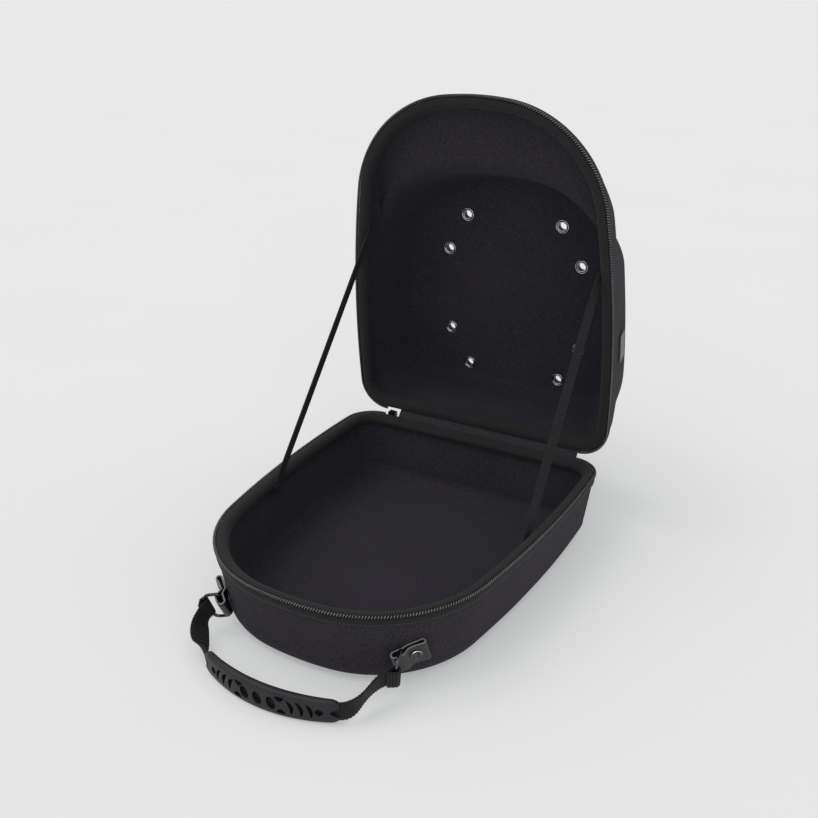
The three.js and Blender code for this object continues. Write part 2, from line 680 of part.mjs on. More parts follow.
function rivet() {
  const top = TAB_PINCH + CLEAR;
  const profile = [
    [0, 0], [RIVET_POST, 0], [RIVET_POST, top], [RIVET_CAP, top],
    [RIVET_CAP, top + RIVET_CAP_HIGH * 0.4], [RIVET_CAP * 0.7, top + RIVET_CAP_HIGH], [0, top + RIVET_CAP_HIGH],
  ].map(([x, y]) => new THREE.Vector2(x, y));
  return new THREE.LatheGeometry(profile, 12);
}

// The ring in the tab's frame: where its bar lies in the strip, which way the bar points up,
// and which way the ring reaches from it
function ringFrame({ side, lean, swing }) {
  const up = vec(Math.sin(TAB_DROOP), 0, -side * Math.cos(TAB_DROOP));
  const along = vec(Math.cos(TAB_DROOP), 0, side * Math.sin(TAB_DROOP));
  const out = vec(0, 1, 0);
  const x = RIVET_FROM_FOLD - TAB_LENGTH + RING_BAR_AT;
  const bar = vec(x, TAB_DEPTH / 2 + tabPull({ side, lean }, x, 0), 0);
  const upright = up.clone().multiplyScalar(Math.cos(lean)).addScaledVector(out, Math.sin(lean));
  const away = out.multiplyScalar(Math.cos(lean)).addScaledVector(up, -Math.sin(lean))
    .multiplyScalar(Math.cos(swing)).addScaledVector(along, Math.sin(swing));
  return { bar, away, upright };
}

function ring(place) {
  const { bar, away, upright } = ringFrame(place);
  const half = RING_INNER / 2 + RING_WIRE;
  const far = RING_DEPTH + RING_WIRE;
  const path = [];
  const corner = (x, z, radius, from) => {
    const steps = 4;
    for (let step = 0; step <= steps; step += 1) {
      const turn = from + (step / steps) * Math.PI / 2;
      path.push({ x: x + radius * Math.cos(turn), z: z + radius * Math.sin(turn) });
    }
  };
  corner(RING_BAR_CORNER, half - RING_BAR_CORNER, RING_BAR_CORNER, Math.PI / 2);
  corner(RING_BAR_CORNER, RING_BAR_CORNER - half, RING_BAR_CORNER, Math.PI);
  corner(far - RING_FAR_CORNER, RING_FAR_CORNER - half, RING_FAR_CORNER, 1.5 * Math.PI);
  corner(far - RING_FAR_CORNER, half - RING_FAR_CORNER, RING_FAR_CORNER, 0);
  const middle = path.map(({ x, z }) => bar.clone().addScaledVector(away, x).addScaledVector(upright, z));
  const plane = new THREE.Vector3().crossVectors(away, upright);
  const sides = 6;
  const rings = middle.map((point, k) => {
    const run = middle[(k + 1) % middle.length].clone().sub(middle[(k - 1 + middle.length) % middle.length]);
    const outward = new THREE.Vector3().crossVectors(run.normalize(), plane);
    return Array.from({ length: sides }, (_, s) => {
      const turn = (s / sides) * 2 * Math.PI;
      return point.clone().addScaledVector(outward, RING_WIRE * Math.cos(turn))
        .addScaledVector(plane, RING_WIRE * Math.sin(turn));
    });
  });
  return loft(rings, { ends: 'loop' });
}

// The strap's way, from the right ring through the grip to the left ring

function gripCentre() {
  return vec(GRIP_SHIFT, GRIP_RADIUS - GRIP_REACH - LENGTH / 2, GRIP_HEIGHT / 2);
}

function gripPoint(along, out, up) {
  const turn = along / GRIP_RADIUS;
  const reach = GRIP_RADIUS - GRIP_THICK / 2 + out;
  return gripCentre().add(vec(reach * Math.sin(turn), -reach * Math.cos(turn), up));
}

// The ring's far wire, and the square frame of the strap's eye round it
function eyeFrame(tabPlace) {
  const { bar, away, upright } = ringFrame(tabPlace);
  const frame = tabFrame(tabPlace);
  const wire = bar.clone().addScaledVector(away, RING_DEPTH + RING_WIRE).applyMatrix4(frame);
  const wide = upright.clone().transformDirection(frame);
  const leave = tabPlace.leave.clone();
  leave.addScaledVector(wide, -leave.dot(wide)).normalize();
  const apart = new THREE.Vector3().crossVectors(leave, wide).multiplyScalar(-tabPlace.side);
  return { wire, wide, leave, apart };
}

// Middle line and width direction from the grip's end to the ring, then through its eye
function strapEnd(tabPlace) {
  const { side, turned } = tabPlace;
  const { wire, wide, leave, apart } = eyeFrame(tabPlace);
  const loop = RING_WIRE + EYE_SLACK + STRAP_THICK / 2;
  const start = gripPoint(side * GRIP_LENGTH / 2, 0, 0);
  const onward = gripPoint(side * (GRIP_LENGTH / 2 + 1), 0, 0).sub(start).normalize();
  const near = wire.clone().addScaledVector(leave, 2 * loop).addScaledVector(apart, -STRAP_THICK / 2 - CLEAR);
  const reach = near.distanceTo(start) / 3;
  const curve = new THREE.CubicBezierCurve3(
    start,
    start.clone().addScaledVector(onward, reach),
    near.clone().addScaledVector(leave, reach),
    near,
  );
  const rows = [];
  const steps = 8;
  for (let step = 1; step <= steps; step += 1) {
    const share = step / steps;
    const turning = vec(0, 0, 1).lerp(turned, smoothstep(share, 0, 0.5)).lerp(wide, smoothstep(share, 0.6, 1));
    rows.push({ point: curve.getPoint(share), wide: turning.normalize() });
  }
  const eye = (along, across) => rows.push({
    point: wire.clone().addScaledVector(leave, along).addScaledVector(apart, across),
    wide,
  });
  eye(0, -loop);
  for (const turn of [-115, -150, -180, -210, -245].map(THREE.MathUtils.degToRad)) {
    eye(loop * Math.cos(turn), loop * Math.sin(turn));
  }
  eye(0, loop);
  const gap = STRAP_THICK + 2 * CLEAR;
  const tail = (EYE_TAIL - 2 * loop) / curve.getLength();
  for (const share of [1, 1 - tail]) {
    rows.push({ point: curve.getPoint(share).addScaledVector(apart, gap), wide });
  }
  return rows;
}

function strapRows() {
  const rows = [];
  const steps = 10;
  for (let step = 0; step <= steps; step += 1) {
    const along = lerp(-GRIP_LENGTH / 2, GRIP_LENGTH / 2, step / steps);
    rows.push({ point: gripPoint(along, 0, 0), wide: vec(0, 0, 1) });
  }
  const [left, right] = TABS;
  return [...strapEnd(left).reverse(), ...rows, ...strapEnd(right)];
}

function strapGeometry() {
  const rows = strapRows();
  const corners = [[-1, -1], [1, -1], [1, 1], [-1, 1]];
  const rings = rows.map(({ point, wide }, k) => {
    const before = rows[Math.max(k - 1, 0)].point;
    const after = rows[Math.min(k + 1, rows.length - 1)].point;
    const run = after.clone().sub(before).normalize();
    const face = new THREE.Vector3().crossVectors(run, wide).normalize();
    const flat = new THREE.Vector3().crossVectors(face, run).normalize();
    return corners.map(([u, v]) => (
      point.clone().addScaledVector(flat, u * STRAP_WIDTH / 2).addScaledVector(face, v * STRAP_THICK / 2)
    ));
  });
  return loft(rings, { ends: 'flat', section: corners.map(([u, v]) => new THREE.Vector2(u, v)) });
}

// The grip: a rounded sleeve bent to an arc, with a slot for the strap and cut-outs in front

function gripRings(section) {
  const steps = 12;
  const rings = [];
  for (let step = 0; step <= steps; step += 1) {
    const share = 2 * step / steps - 1;
    rings.push(section(share).map(([out, up]) => gripPoint(share * GRIP_LENGTH / 2, out, up)));
  }
  return rings;
}

function gripSleeve() {
  const section = (share) => {
    const high = lerp(GRIP_HEIGHT, GRIP_END_HEIGHT, share ** 2) / 2;
    const deep = lerp(GRIP_THICK, GRIP_END_THICK, share ** 2) / 2;
    return [
      [deep, -high * 0.55], [deep * 0.6, -high], [-deep * 0.6, -high], [-deep, -high * 0.55],
      [-deep, high * 0.55], [-deep * 0.6, high], [deep * 0.6, high], [deep, high * 0.55],
    ];
  };
  return loft(gripRings(section), {
    ends: 'flat',
    section: section(0).map(([x, y]) => new THREE.Vector2(x, y)),
  });
}

function gripSlot() {
  const wide = STRAP_WIDTH / 2 + CLEAR;
  const thick = STRAP_THICK / 2 + CLEAR;
  const corners = [[thick, -wide], [-thick, -wide], [-thick, wide], [thick, wide]];
  const rings = gripRings(() => corners);
  const push = (ring, way) => ring.map((p) => p.clone().addScaledVector(way, GRIP_THICK));
  const first = rings[0][0].clone().sub(rings[1][0]).normalize();
  const last = rings.at(-1)[0].clone().sub(rings.at(-2)[0]).normalize();
  return loft([push(rings[0], first), ...rings, push(rings.at(-1), last)], {
    ends: 'flat',
    section: corners.map(([x, y]) => new THREE.Vector2(x, y)),
  });
}

function cutOutline({ name, wide, long }) {
  const w = wide * GRIP_LENGTH / 2;
  const h = long * GRIP_HEIGHT / 2;
  const shape = new THREE.Shape();
  if (name === 'oval') shape.absellipse(0, 0, w, h, 0, 2 * Math.PI);
  if (name === 'wedge') {
    shape.moveTo(-w, h);
    shape.lineTo(w, h);
    shape.lineTo(0, -h);
    shape.closePath();
  }
  if (name === 'crescent') {
    shape.moveTo(0, -h);
    shape.quadraticCurveTo(w * 2, 0, 0, h);
    shape.quadraticCurveTo(w * 0.3, 0, 0, -h);
  }
  if (name === 'drop') {
    shape.moveTo(0, -h);
    shape.quadraticCurveTo(w * 2.4, 0, 0, h);
    shape.quadraticCurveTo(-w * 2.4, 0, 0, -h);
  }
  return shape;
}

function grip() {
  let solid = toSolid(gripSleeve()).subtract(toSolid(gripSlot()));
  for (const cut of GRIP_CUTS) {
    const depth = { depth: GRIP_THICK, bevelEnabled: false, curveSegments: 4 };
    const hole = new THREE.ExtrudeGeometry(cutOutline(cut), depth);
    const flip = cut.name === 'crescent' && cut.along < 0 ? Math.PI : 0;
    hole.rotateZ(THREE.MathUtils.degToRad(cut.turn) + flip);
    const along = cut.along * GRIP_LENGTH / 2;
    const up = cut.up * GRIP_HEIGHT / 2;
    hole.rotateX(Math.PI / 2).rotateZ(along / GRIP_RADIUS);
    const place = gripPoint(along, 0, up);
    hole.translate(place.x, place.y, place.z);
    solid = solid.subtract(toSolid(hole));
  }
  return fromSolid(solid);
}

// Assembly

function add(group, name, geometry, finish) {
  const mesh = new THREE.Mesh(geometry, new THREE.MeshStandardMaterial(finish));
  mesh.name = name;
  group.add(mesh);
  return mesh;
}

const carrier = new THREE.Group();

const trayRim = { rim: BASE_HEIGHT, way: -1 };
add(carrier, 'base_shell', shell(baseRows()), FABRIC);
add(carrier, 'base_binding', band(bindingSection(), { ...trayRim, zipOnly: false }), WEBBING);
add(carrier, 'base_zip_tape', band(tapeSection(), { ...trayRim, zipOnly: true }), WEBBING);
add(carrier, 'base_zip_coil', band(coilSection(), { ...trayRim, zipOnly: true }), COIL);
add(carrier, 'hinge_strip', hingeStrip(), FABRIC);

const lid = new THREE.Group();
lid.position.set(0, HINGE_Y, HINGE_Z);
lid.rotation.x = -LID_OPEN;
carrier.add(lid);
const closed = new THREE.Group();
closed.position.set(0, -HINGE_Y, -HINGE_Z);
lid.add(closed);
const lidRim = { rim: LID_RIM, way: 1 };
add(closed, 'lid_shell', lidShell(), FABRIC);
add(closed, 'lid_binding', band(bindingSection(), { ...lidRim, zipOnly: false }), WEBBING);
add(closed, 'lid_zip_tape', band(tapeSection(), { ...lidRim, zipOnly: true }), WEBBING);
add(closed, 'lid_zip_coil', band(coilSection(), { ...lidRim, zipOnly: true }), COIL);
eyeletPlaces().forEach((place, k) => {
  add(closed, `eyelet_${k + 1}`, eyelet(), SILVER).position.copy(place);
});
patch(closed);

const sliderX = SLIDER.length - PLAN.backHalf;
const sliderY = HINGE_Y + SLIDER.width / 2 - RIM_SEAT + 2 * CLEAR;
add(carrier, 'zip_slider', slider(), BLACK_METAL).position.set(sliderX, sliderY, HINGE_Z);
add(carrier, 'zip_pull', pull(), BLACK_METAL).position.set(sliderX, sliderY, HINGE_Z - SLIDER.height - CLEAR);

for (const place of STAYS) {
  add(carrier, `stay_${place.name}`, stay(place), WEBBING);
  add(carrier, `stay_foot_${place.name}`, stayFoot(place), WEBBING);
}

for (const place of TABS) {
  const mount = new THREE.Group();
  mount.applyMatrix4(tabFrame(place));
  carrier.add(mount);
  add(mount, `tab_${place.name}`, tab(place), LEATHERETTE);
  add(mount, `rivet_${place.name}`, rivet(), BLACK_METAL);
  add(mount, `d_ring_${place.name}`, ring(place), BLACK_METAL);
}
add(carrier, 'handle_strap', strapGeometry(), WEBBING);
add(carrier, 'handle_grip', grip(), RUBBER);

export default carrier;
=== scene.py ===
import math

import bpy
import numpy as np
from mathutils import Matrix, Vector, noise


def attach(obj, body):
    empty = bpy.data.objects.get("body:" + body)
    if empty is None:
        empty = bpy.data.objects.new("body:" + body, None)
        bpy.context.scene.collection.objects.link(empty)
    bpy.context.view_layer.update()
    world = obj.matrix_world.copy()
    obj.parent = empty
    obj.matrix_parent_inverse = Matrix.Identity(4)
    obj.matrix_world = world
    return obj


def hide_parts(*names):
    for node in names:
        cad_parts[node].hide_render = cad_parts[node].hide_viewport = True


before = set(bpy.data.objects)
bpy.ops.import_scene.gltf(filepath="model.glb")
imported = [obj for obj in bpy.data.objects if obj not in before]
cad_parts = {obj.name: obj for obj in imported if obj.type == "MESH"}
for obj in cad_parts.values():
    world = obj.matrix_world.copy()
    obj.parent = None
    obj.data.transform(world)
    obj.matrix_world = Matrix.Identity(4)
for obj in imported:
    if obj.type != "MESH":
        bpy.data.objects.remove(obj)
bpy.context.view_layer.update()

# Sizes in millimetres, angles in degrees. x is the width, the round front is at -y, the hinge
# at +y, z is up, and the origin is on the floor under the middle of the tray.
MM = 0.001

# Case
WIDTH = 268
LENGTH = 322
BASE_HEIGHT = 66.5
LID_DEPTH = 88
LID_OPEN = 85.8
RIM_GAP = 4
WALL = 4.5
CLEAR = 0.3
FRONT_RADIUS = 0.918 * WIDTH
SIDE_RADIUS = 3.913 * WIDTH
SHOULDER = {"radius": 0.4015 * WIDTH, "end": 81.56}
BACK_CORNER = 29.5
ARC_STEPS = {"front": 12, "shoulder": 44, "side": 26, "corner": 22, "back": 12}

# Rim
RIM_SEAT = 3.2
EDGE_DROP = 2
RIM_BAND = 10
BINDING_RIDGE = 5.3
TAPE = 1
COIL_WIDTH = 2.5
COIL_HEIGHT = 2.4
COIL_WIRE = 0.42
COIL_PITCH = 2.3
COIL_STEPS = 9
COIL_SIDES = 5
COIL_MIDDLE = RIM_SEAT - 2 * CLEAR - COIL_WIDTH / 2
# A direction that the coil's wire never runs along
COIL_TILT = (0.31, 0.23, 0.92)
# Sides of the near-black core inside the coil, painted shade for the gaps between its wires
GAP_SHADE_SIDES = 12
# Shares of the ridge and of the band's depth, from the rim's edge inwards
BINDING_BULGE = ((0.25, 0.07), (0.8, 0.32), (1, 0.6), (0.7, 0.9))
STITCH = {"long": 2.2, "pitch": 3.1, "thick": 0.34, "from_edge": 2, "sunk": 0.2, "sides": 6}
# How far along each stitch, and how thick it is there, as shares
STITCH_SHAPE = ((-0.5, 0.35), (-0.3, 0.85), (0, 1), (0.3, 0.85), (0.5, 0.35))

# Tray and lid
BASE_SLOPE = 5.8
BASE_ROUND = 16
TRAY_STEPS = {"rim": 5, "wall": 9, "round": 14}
TIER_DEPTH = 27
CROWN_SETBACK = 64
CROWN_SHOULDER = {"radius": 0.375 * WIDTH, "end": 84}
CROWN_CORNER = 60
LEDGE_FULL = 0.75
FRONT_SLOPE = 37
SIDE_SLOPE = 33
BACK_SLOPE = 15
# Shares of the slopes and depths above, a row for each section from the rim to the crown
LID_COLUMNS = {
    "front_in": (0.095, 0.265, 0.51, 0.24, -0.085, 0.05, 0.17, 0.32, 0.43, 0.56, 0.75, 1),
    "tier": (0.63, 0.85, 0.98, 1, 1, 1, 1, 1, 1, 1, 1, 1),
    "crown": (0, 0, 0, 0.01, 0.025, 0.1, 0.295, 0.575, 0.74, 0.877, 0.967, 1),
    "on_crown": (0, 0, 0.05, 0.55, 1, 1, 1, 1, 1, 1, 1, 1),
    "side_in": (0.02, 0.04, 0.06, 0.075, 0.095, 0.12, 0.165, 0.23, 0.33, 0.495, 0.72, 1),
    "side_down": (0.18, 0.24, 0.295, 0.35, 0.41, 0.48, 0.58, 0.715, 0.83, 0.92, 0.98, 1),
    "back_in": (0.005, 0.015, 0.03, 0.04, 0.05, 0.06, 0.08, 0.11, 0.21, 0.395, 0.655, 1),
    "back_down": (0.205, 0.295, 0.385, 0.475, 0.57, 0.65, 0.715, 0.785, 0.865, 0.937, 0.986, 1),
}
ROW_STEPS = 4
# Rows over which the straight inner face behind the rim turns into the moulded one
RIM_BLEND = 3
FLOOR_SHARES = (0.06, 0.14, 0.26, 0.42, 0.6, 0.78, 0.94)
# The seed keeps the unevenness the same from run to run
SOFT_WAVE = {"high": 0.3, "long": 45, "from": 1, "full": 12, "seed": 1}

# Eyelets
EYELET_HOLE = 4
EYELET_FLANGE = 6.4
EYELET_RIM = 0.9
EYELET_EDGE = 0.34
EYELET_GROOVE = 0.15
EYELET_STEPS = {"edge": 9, "lip": 8, "hole": 32}
# Each row's way from the hinge and how far apart its two are, as shares of length and width
EYELET_ROWS = ((0.5855, 0.368), (0.4705, 0.5215), (0.2035, 0.5215), (0.0885, 0.368))

# Stays
STAY_WIDTH = 8
STAY_THICK = 1.5
STAY_DROP = 6
STAY_POINTS = 420
STAY_RIB = {"pitch": 2.3, "high": 0.12}
# Below 1, a twisted stay takes most of its turn near its ends
STAY_TWIST = 0.6
STAYS = (
    {"name": "left", "side": -1, "lid": 189, "base": 173, "low": 6, "turn": 0},
    {"name": "right", "side": 1, "lid": 178, "base": 152, "low": 11, "turn": 57},
)

# Handle tabs, rivets and rings
TAB_LENGTH = 29
TAB_WIDTH = 17.6
TAB_TAPER = 0.04
TAB_THICK = 1.5
TAB_DEPTH = 7.5
TAB_PINCH = 5
TAB_BELLY = 8.2
TAB_FOLD = 0.38 * TAB_DEPTH
TAB_BACK = 0.97 * TAB_DEPTH
TAB_ARC = 17
TAB_RISE = 30
TAB_DROOP = 16
RIVET_CAP = 4.6
RIVET_POST = 2
RIVET_CAP_HIGH = 1.4
RIVET_EDGE = {"chamfer": 0.15, "high": 0.4, "bright": 5}
RIVET_STEPS = 12
RIVET_FROM_FOLD = 10.5
RING_WIRE = 1.3
RING_INNER = 21
RING_DEPTH = 14
RING_BAR_CORNER = 1.7
RING_FAR_CORNER = 7
RING_BAR_AT = 5.9
RING_SIDES = 16
RING_ARC = 13
RING_STEP = 1.5
TABS = (
    # leave: the way in which the strap leaves the ring; turned: where its upper edge points
    # half way to the grip
    {"name": "left", "side": -1, "heading": 39.5, "lean": 12, "swing": 34,
     "leave": (0.22, -0.93, -0.3), "turned": (-0.82, -0.19, 0.53)},
    {"name": "right", "side": 1, "heading": 46, "lean": 3, "swing": -28,
     "leave": (-0.6, -0.75, -0.3), "turned": (0.3, 0.2, 0.93)},
)

# Handle
STRAP_WIDTH = 16
STRAP_THICK = 1.6
STRAP_RIB = {"pitch": 2.3, "high": 0.2}
EYE_SLACK = 1.1
EYE_TAIL = 7
# The eye's way round the ring, in degrees from the way in which the strap leaves
EYE_TURNS = (-115, -150, -180, -210, -245)
STRAP_ROWS = {"end": 9, "grip": 13, "length": 40}
GRIP_REACH = 43.3
GRIP_RADIUS = 142
GRIP_SHIFT = 5
GRIP_LENGTH = 126
GRIP_HEIGHT = 21.5
GRIP_END_HEIGHT = 18.6
GRIP_THICK = 8
GRIP_END_THICK = 6
GRIP_ROUND = 0.9
# Powers that make the grip's oval section squarer
GRIP_SQUARE = {"out": 0.62, "up": 0.5}
GRIP_STEPS = 110
GRIP_SIDES = 44
CUT_STEPS = {"oval": 28, "wedge": 6, "bow": 13}
SLOT_SPARE = 3

# The camera at the photo's angle
VIEW = {"azimuth": 29.62, "elevation": 24.53, "distance": 952.6, "roll": -0.2, "lens": 44.81}
VIEW_TARGET = (-41.13, 99.18, 108.1)
SENSOR = 36

# Floor and light, in metres; a faint glow of its own keeps the floor's shadows soft
FLOOR_SIZE = 60
FAR_AWAY = 100
FLOOR_GLOW = {"Emission_Color": (0.955, 0.98, 1, 1), "Emission_Strength": 0.31}
SKY = {"Color": (0.985, 0.99, 1, 1), "Strength": 0.73}
SUNS = (
    # name, azimuth, elevation, strength, width in degrees
    ("key", -70, 62, 0.75, 45),
    ("front", 20, 40, 0.5, 70),
)

HINGE_Y = LENGTH / 2
HINGE_Z = BASE_HEIGHT + RIM_GAP / 2
LID_RIM = BASE_HEIGHT + RIM_GAP


def vec(*values):
    return np.array(values, float)


def unit(v):
    return v / np.linalg.norm(v, axis=-1, keepdims=True)


def lerp(a, b, t):
    return a + (b - a) * t


def ease(x, low, high):
    t = np.clip((x - low) / (high - low), 0, 1)
    return t * t * (3 - 2 * t)


def circle(count):
    """That many angles round a circle"""
    return np.linspace(0, 2 * math.pi, count, endpoint=False)


def squared(part, power):
    """A sine or cosine pushed outwards, which makes a circle squarer"""
    return math.copysign(abs(part) ** power, part)


def turned(v, axis, angle):
    """v turned about a unit axis by an angle in radians"""
    return (v * math.cos(angle) + np.cross(axis, v) * math.sin(angle)
            + axis * np.dot(axis, v) * (1 - math.cos(angle)))


def swung(points):
    """Places on the closed lid, swung open about the hinge line"""
    phi = math.radians(LID_OPEN)
    y = points[..., 1] - HINGE_Y
    z = points[..., 2] - HINGE_Z
    return np.stack([
        points[..., 0],
        HINGE_Y + y * math.cos(phi) + z * math.sin(phi),
        HINGE_Z - y * math.sin(phi) + z * math.cos(phi),
    ], -1)


def aimed(azimuth, elevation):
    """The way to a place that many degrees round from the front and above the floor"""
    turn, rise = math.radians(azimuth), math.radians(elevation)
    return Vector((math.sin(turn) * math.cos(rise), -math.cos(turn) * math.cos(rise), math.sin(rise)))


def curve_through(rows, steps, closed=False):
    """Rows between the given ones, on a centripetal curve through each column of points"""
    rows = np.asarray(rows, float)
    if closed:
        wide = np.concatenate([rows[-1:], rows, rows[:2]])
    else:
        wide = np.concatenate([2 * rows[:1] - rows[1:2], rows, 2 * rows[-1:] - rows[-2:-1]])
    made = []
    for r in range(1, len(wide) - 2):
        p = wide[r - 1:r + 3]
        gaps = np.maximum(np.linalg.norm(np.diff(p, axis=0), axis=-1, keepdims=True), 1e-4) ** 0.5
        t = np.concatenate([np.zeros_like(gaps[:1]), np.cumsum(gaps, 0)])
        for step in range(steps):
            s = lerp(t[1], t[2], step / steps)
            a = [(t[k + 1] - s) / (t[k + 1] - t[k]) * p[k] + (s - t[k]) / (t[k + 1] - t[k]) * p[k + 1]
                 for k in range(3)]
            b = [(t[k + 2] - s) / (t[k + 2] - t[k]) * a[k] + (s - t[k]) / (t[k + 2] - t[k]) * a[k + 1]
                 for k in range(2)]
            made.append((t[2] - s) / (t[2] - t[1]) * b[0] + (s - t[1]) / (t[2] - t[1]) * b[1])
    if not closed:
        made.append(rows[-1])
    return np.array(made)


# Meshes

# Edges that bend by more than this, in degrees, are sharp
SHARP = 40
SMOOTH = 180
LATHE_STEPS = 40


def measured(points, closed):
    """Distance along a list of points, with one value more where the list closes"""
    ends = np.concatenate([points, points[:1]]) if closed else points
    return np.concatenate([[0], np.cumsum(np.linalg.norm(np.diff(ends, axis=0), axis=-1))])


def new_piece(name, points, faces, finishes, uvs=None, marks=None, sharp=SHARP):
    mesh = bpy.data.meshes.new(name)
    mesh.from_pydata((np.asarray(points) * MM).tolist(), [], faces)
    if uvs is not None:
        layer = mesh.uv_layers.new(name="cloth")
        layer.data.foreach_set("uv", np.asarray(uvs, np.float32).ravel() * MM)
    for finish in finishes:
        mesh.materials.append(finish)
    if marks is not None:
        mesh.polygons.foreach_set("material_index", np.asarray(marks, np.int32))
    mesh.polygons.foreach_set("use_smooth", [True] * len(mesh.polygons))
    mesh.update()
    if sharp < SMOOTH:
        mesh.set_sharp_from_angle(angle=math.radians(sharp))
    piece = bpy.data.objects.new(name, mesh)
    bpy.context.scene.collection.objects.link(piece)
    return piece


def lofted(name, rings, finishes, loop=False, marks=None, sharp=SHARP):
    """Closed rings joined in order, each one a list of points; a loop joins the last to the
    first, and otherwise a fan closes both ends. marks gives each row's material, or each face's."""
    rings = np.asarray(rings, float)
    count, around = rings.shape[:2]
    rows = count if loop else count - 1
    r, k = np.meshgrid(np.arange(rows), np.arange(around), indexing="ij")
    near, far, following = r * around, (r + 1) % count * around, (k + 1) % around
    quads = np.stack([near + k, near + following, far + following, far + k], -1).reshape(-1, 4)
    points = rings.reshape(-1, 3)
    a, b, c, d = (points[quads[:, n]] - points.mean(0) for n in range(4))
    volume = (a * (np.cross(b, c) + np.cross(c, d))).sum()
    along = measured(rings[:, 0], loop)
    across = measured(rings[count // 2], True)
    u = np.stack([along[r], along[r], along[r + 1], along[r + 1]], -1).reshape(-1, 4)
    v = np.stack([across[k], across[k + 1], across[k + 1], across[k]], -1).reshape(-1, 4)
    uv = np.stack([u, v], -1)
    if volume < 0:
        quads = quads[:, ::-1]
        uv = uv[:, ::-1]
    faces = quads.tolist()
    uvs = uv.reshape(-1, 2).tolist()
    marks = np.zeros(rows, int) if marks is None else np.asarray(marks)
    materials = (marks.ravel() if marks.ndim > 1 else np.repeat(marks, around)).tolist()
    points = points.tolist()
    if not loop:
        for row, first in ((0, True), (count - 1, False)):
            middle = len(points)
            points.append(rings[row].mean(0).tolist())
            for s in range(around):
                pair = [row * around + s, row * around + (s + 1) % around]
                if first != (volume < 0):
                    pair.reverse()
                faces.append([*pair, middle])
                uvs += [[along[row], across[s]], [along[row], across[s + 1]], [along[row], across[s]]]
                materials.append(materials[0] if first else materials[rows * around - 1])
    return new_piece(name, points, faces, finishes, uvs, materials, sharp)


def lathed(name, profile, marks, finishes, place):
    """A closed profile of (radius, height) turned about an axis, then put in place; marks gives
    the material of each stretch of the profile"""
    turn = circle(LATHE_STEPS)[:, None]
    out, up = np.transpose(profile)
    rings = np.stack([out * np.cos(turn), out * np.sin(turn), up + 0 * turn], -1)
    marks = np.tile(marks, (LATHE_STEPS, 1))
    return lofted(name, place(rings), finishes, loop=True, marks=marks, sharp=50)


def frames_along(points, wide):
    """Width and face directions square to a path"""
    run = unit(np.gradient(points, axis=0))
    face = unit(np.cross(run, wide))
    return unit(np.cross(face, run)), face


def tube(name, points, wire, finish, sides, up, loop=True):
    """A round wire along a path; up is a direction that the path never takes"""
    run = np.roll(points, -1, 0) - np.roll(points, 1, 0) if loop else np.gradient(points, axis=0)
    outward = unit(np.cross(run, up))
    plane = unit(np.cross(outward, run))
    turn = circle(sides)[:, None]
    rings = points[:, None] + wire * (outward[:, None] * np.cos(turn) + plane[:, None] * np.sin(turn))
    return lofted(name, rings, [finish], loop=loop, sharp=SMOOTH)


def solids(parts):
    """Points and faces of closed solids, each from its own row of like rings"""
    points, faces = [], []
    for rings in parts:
        start, around = len(points), len(rings[0])
        for ring in rings:
            points += [*ring]
        last = len(points) - around
        faces.append(list(range(start + around - 1, start - 1, -1)))
        faces.append(list(range(last, last + around)))
        for here in range(start, last, around):
            faces += [[here + s, here + (s + 1) % around, here + around + (s + 1) % around, here + around + s]
                      for s in range(around)]
    return points, faces


def cut(piece, cutter):
    """Take one closed mesh out of another, for good"""
    hole = piece.modifiers.new("cut", "BOOLEAN")
    hole.operation = "DIFFERENCE"
    hole.solver = "MANIFOLD"
    hole.object = cutter
    graph = bpy.context.evaluated_depsgraph_get()
    mesh = bpy.data.meshes.new_from_object(piece.evaluated_get(graph))
    piece.modifiers.clear()
    old = piece.data
    piece.data = mesh
    bpy.data.meshes.remove(old)
    mesh.name = piece.name
    bpy.data.objects.remove(cutter)
    mesh.set_sharp_from_angle(angle=math.radians(SHARP))


def put(piece, slot, *nodes):
    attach(piece, "root")
    if nodes:
        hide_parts(*nodes)


# Materials

def node(tree, kind, inputs=None, **settings):
    made = tree.nodes.new(kind)
    for key, value in settings.items():
        setattr(made, key, value)
    for key, value in (inputs or {}).items():
        if isinstance(value, bpy.types.NodeSocket):
            tree.links.new(value, made.inputs[key])
        else:
            made.inputs[key].default_value = value
    return made


def maths(tree, operation, a, b=0.0, c=0.0):
    return node(tree, "ShaderNodeMath", {0: a, 1: b, 2: c}, operation=operation).outputs[0]


def grey(r, g, b):
    """A colour as seen on screen, in 0 to 255, made linear"""
    return (*[((v / 255 + 0.055) / 1.055) ** 2.4 if v > 10 else v / 255 / 12.92 for v in (r, g, b)], 1)


def weighed(tree, *parts, plus=0.0):
    """The sum of (value, weight) parts"""
    for value, weight in parts:
        plus = maths(tree, "MULTIPLY_ADD", value, weight, plus)
    return plus


def speckled(tree, where, scale, detail):
    """Noise from 0 to 1 in patches about 1 / scale metres wide"""
    cloud = node(tree, "ShaderNodeTexNoise", {"Vector": where, "Scale": scale, "Detail": detail})
    ends = {"Value": cloud.outputs["Fac"], "From Min": 0.3, "From Max": 0.7}
    return node(tree, "ShaderNodeMapRange", ends).outputs["Result"]


def blended(tree, share, a, b):
    mix = node(tree, "ShaderNodeMix", {"Factor": share}, data_type="RGBA")
    for key, value in (("A", a), ("B", b)):
        socket = [s for s in mix.inputs if s.name == key and s.type == "RGBA"][0]
        if isinstance(value, bpy.types.NodeSocket):
            tree.links.new(value, socket)
        else:
            socket.default_value = value
    return [s for s in mix.outputs if s.type == "RGBA"][0]


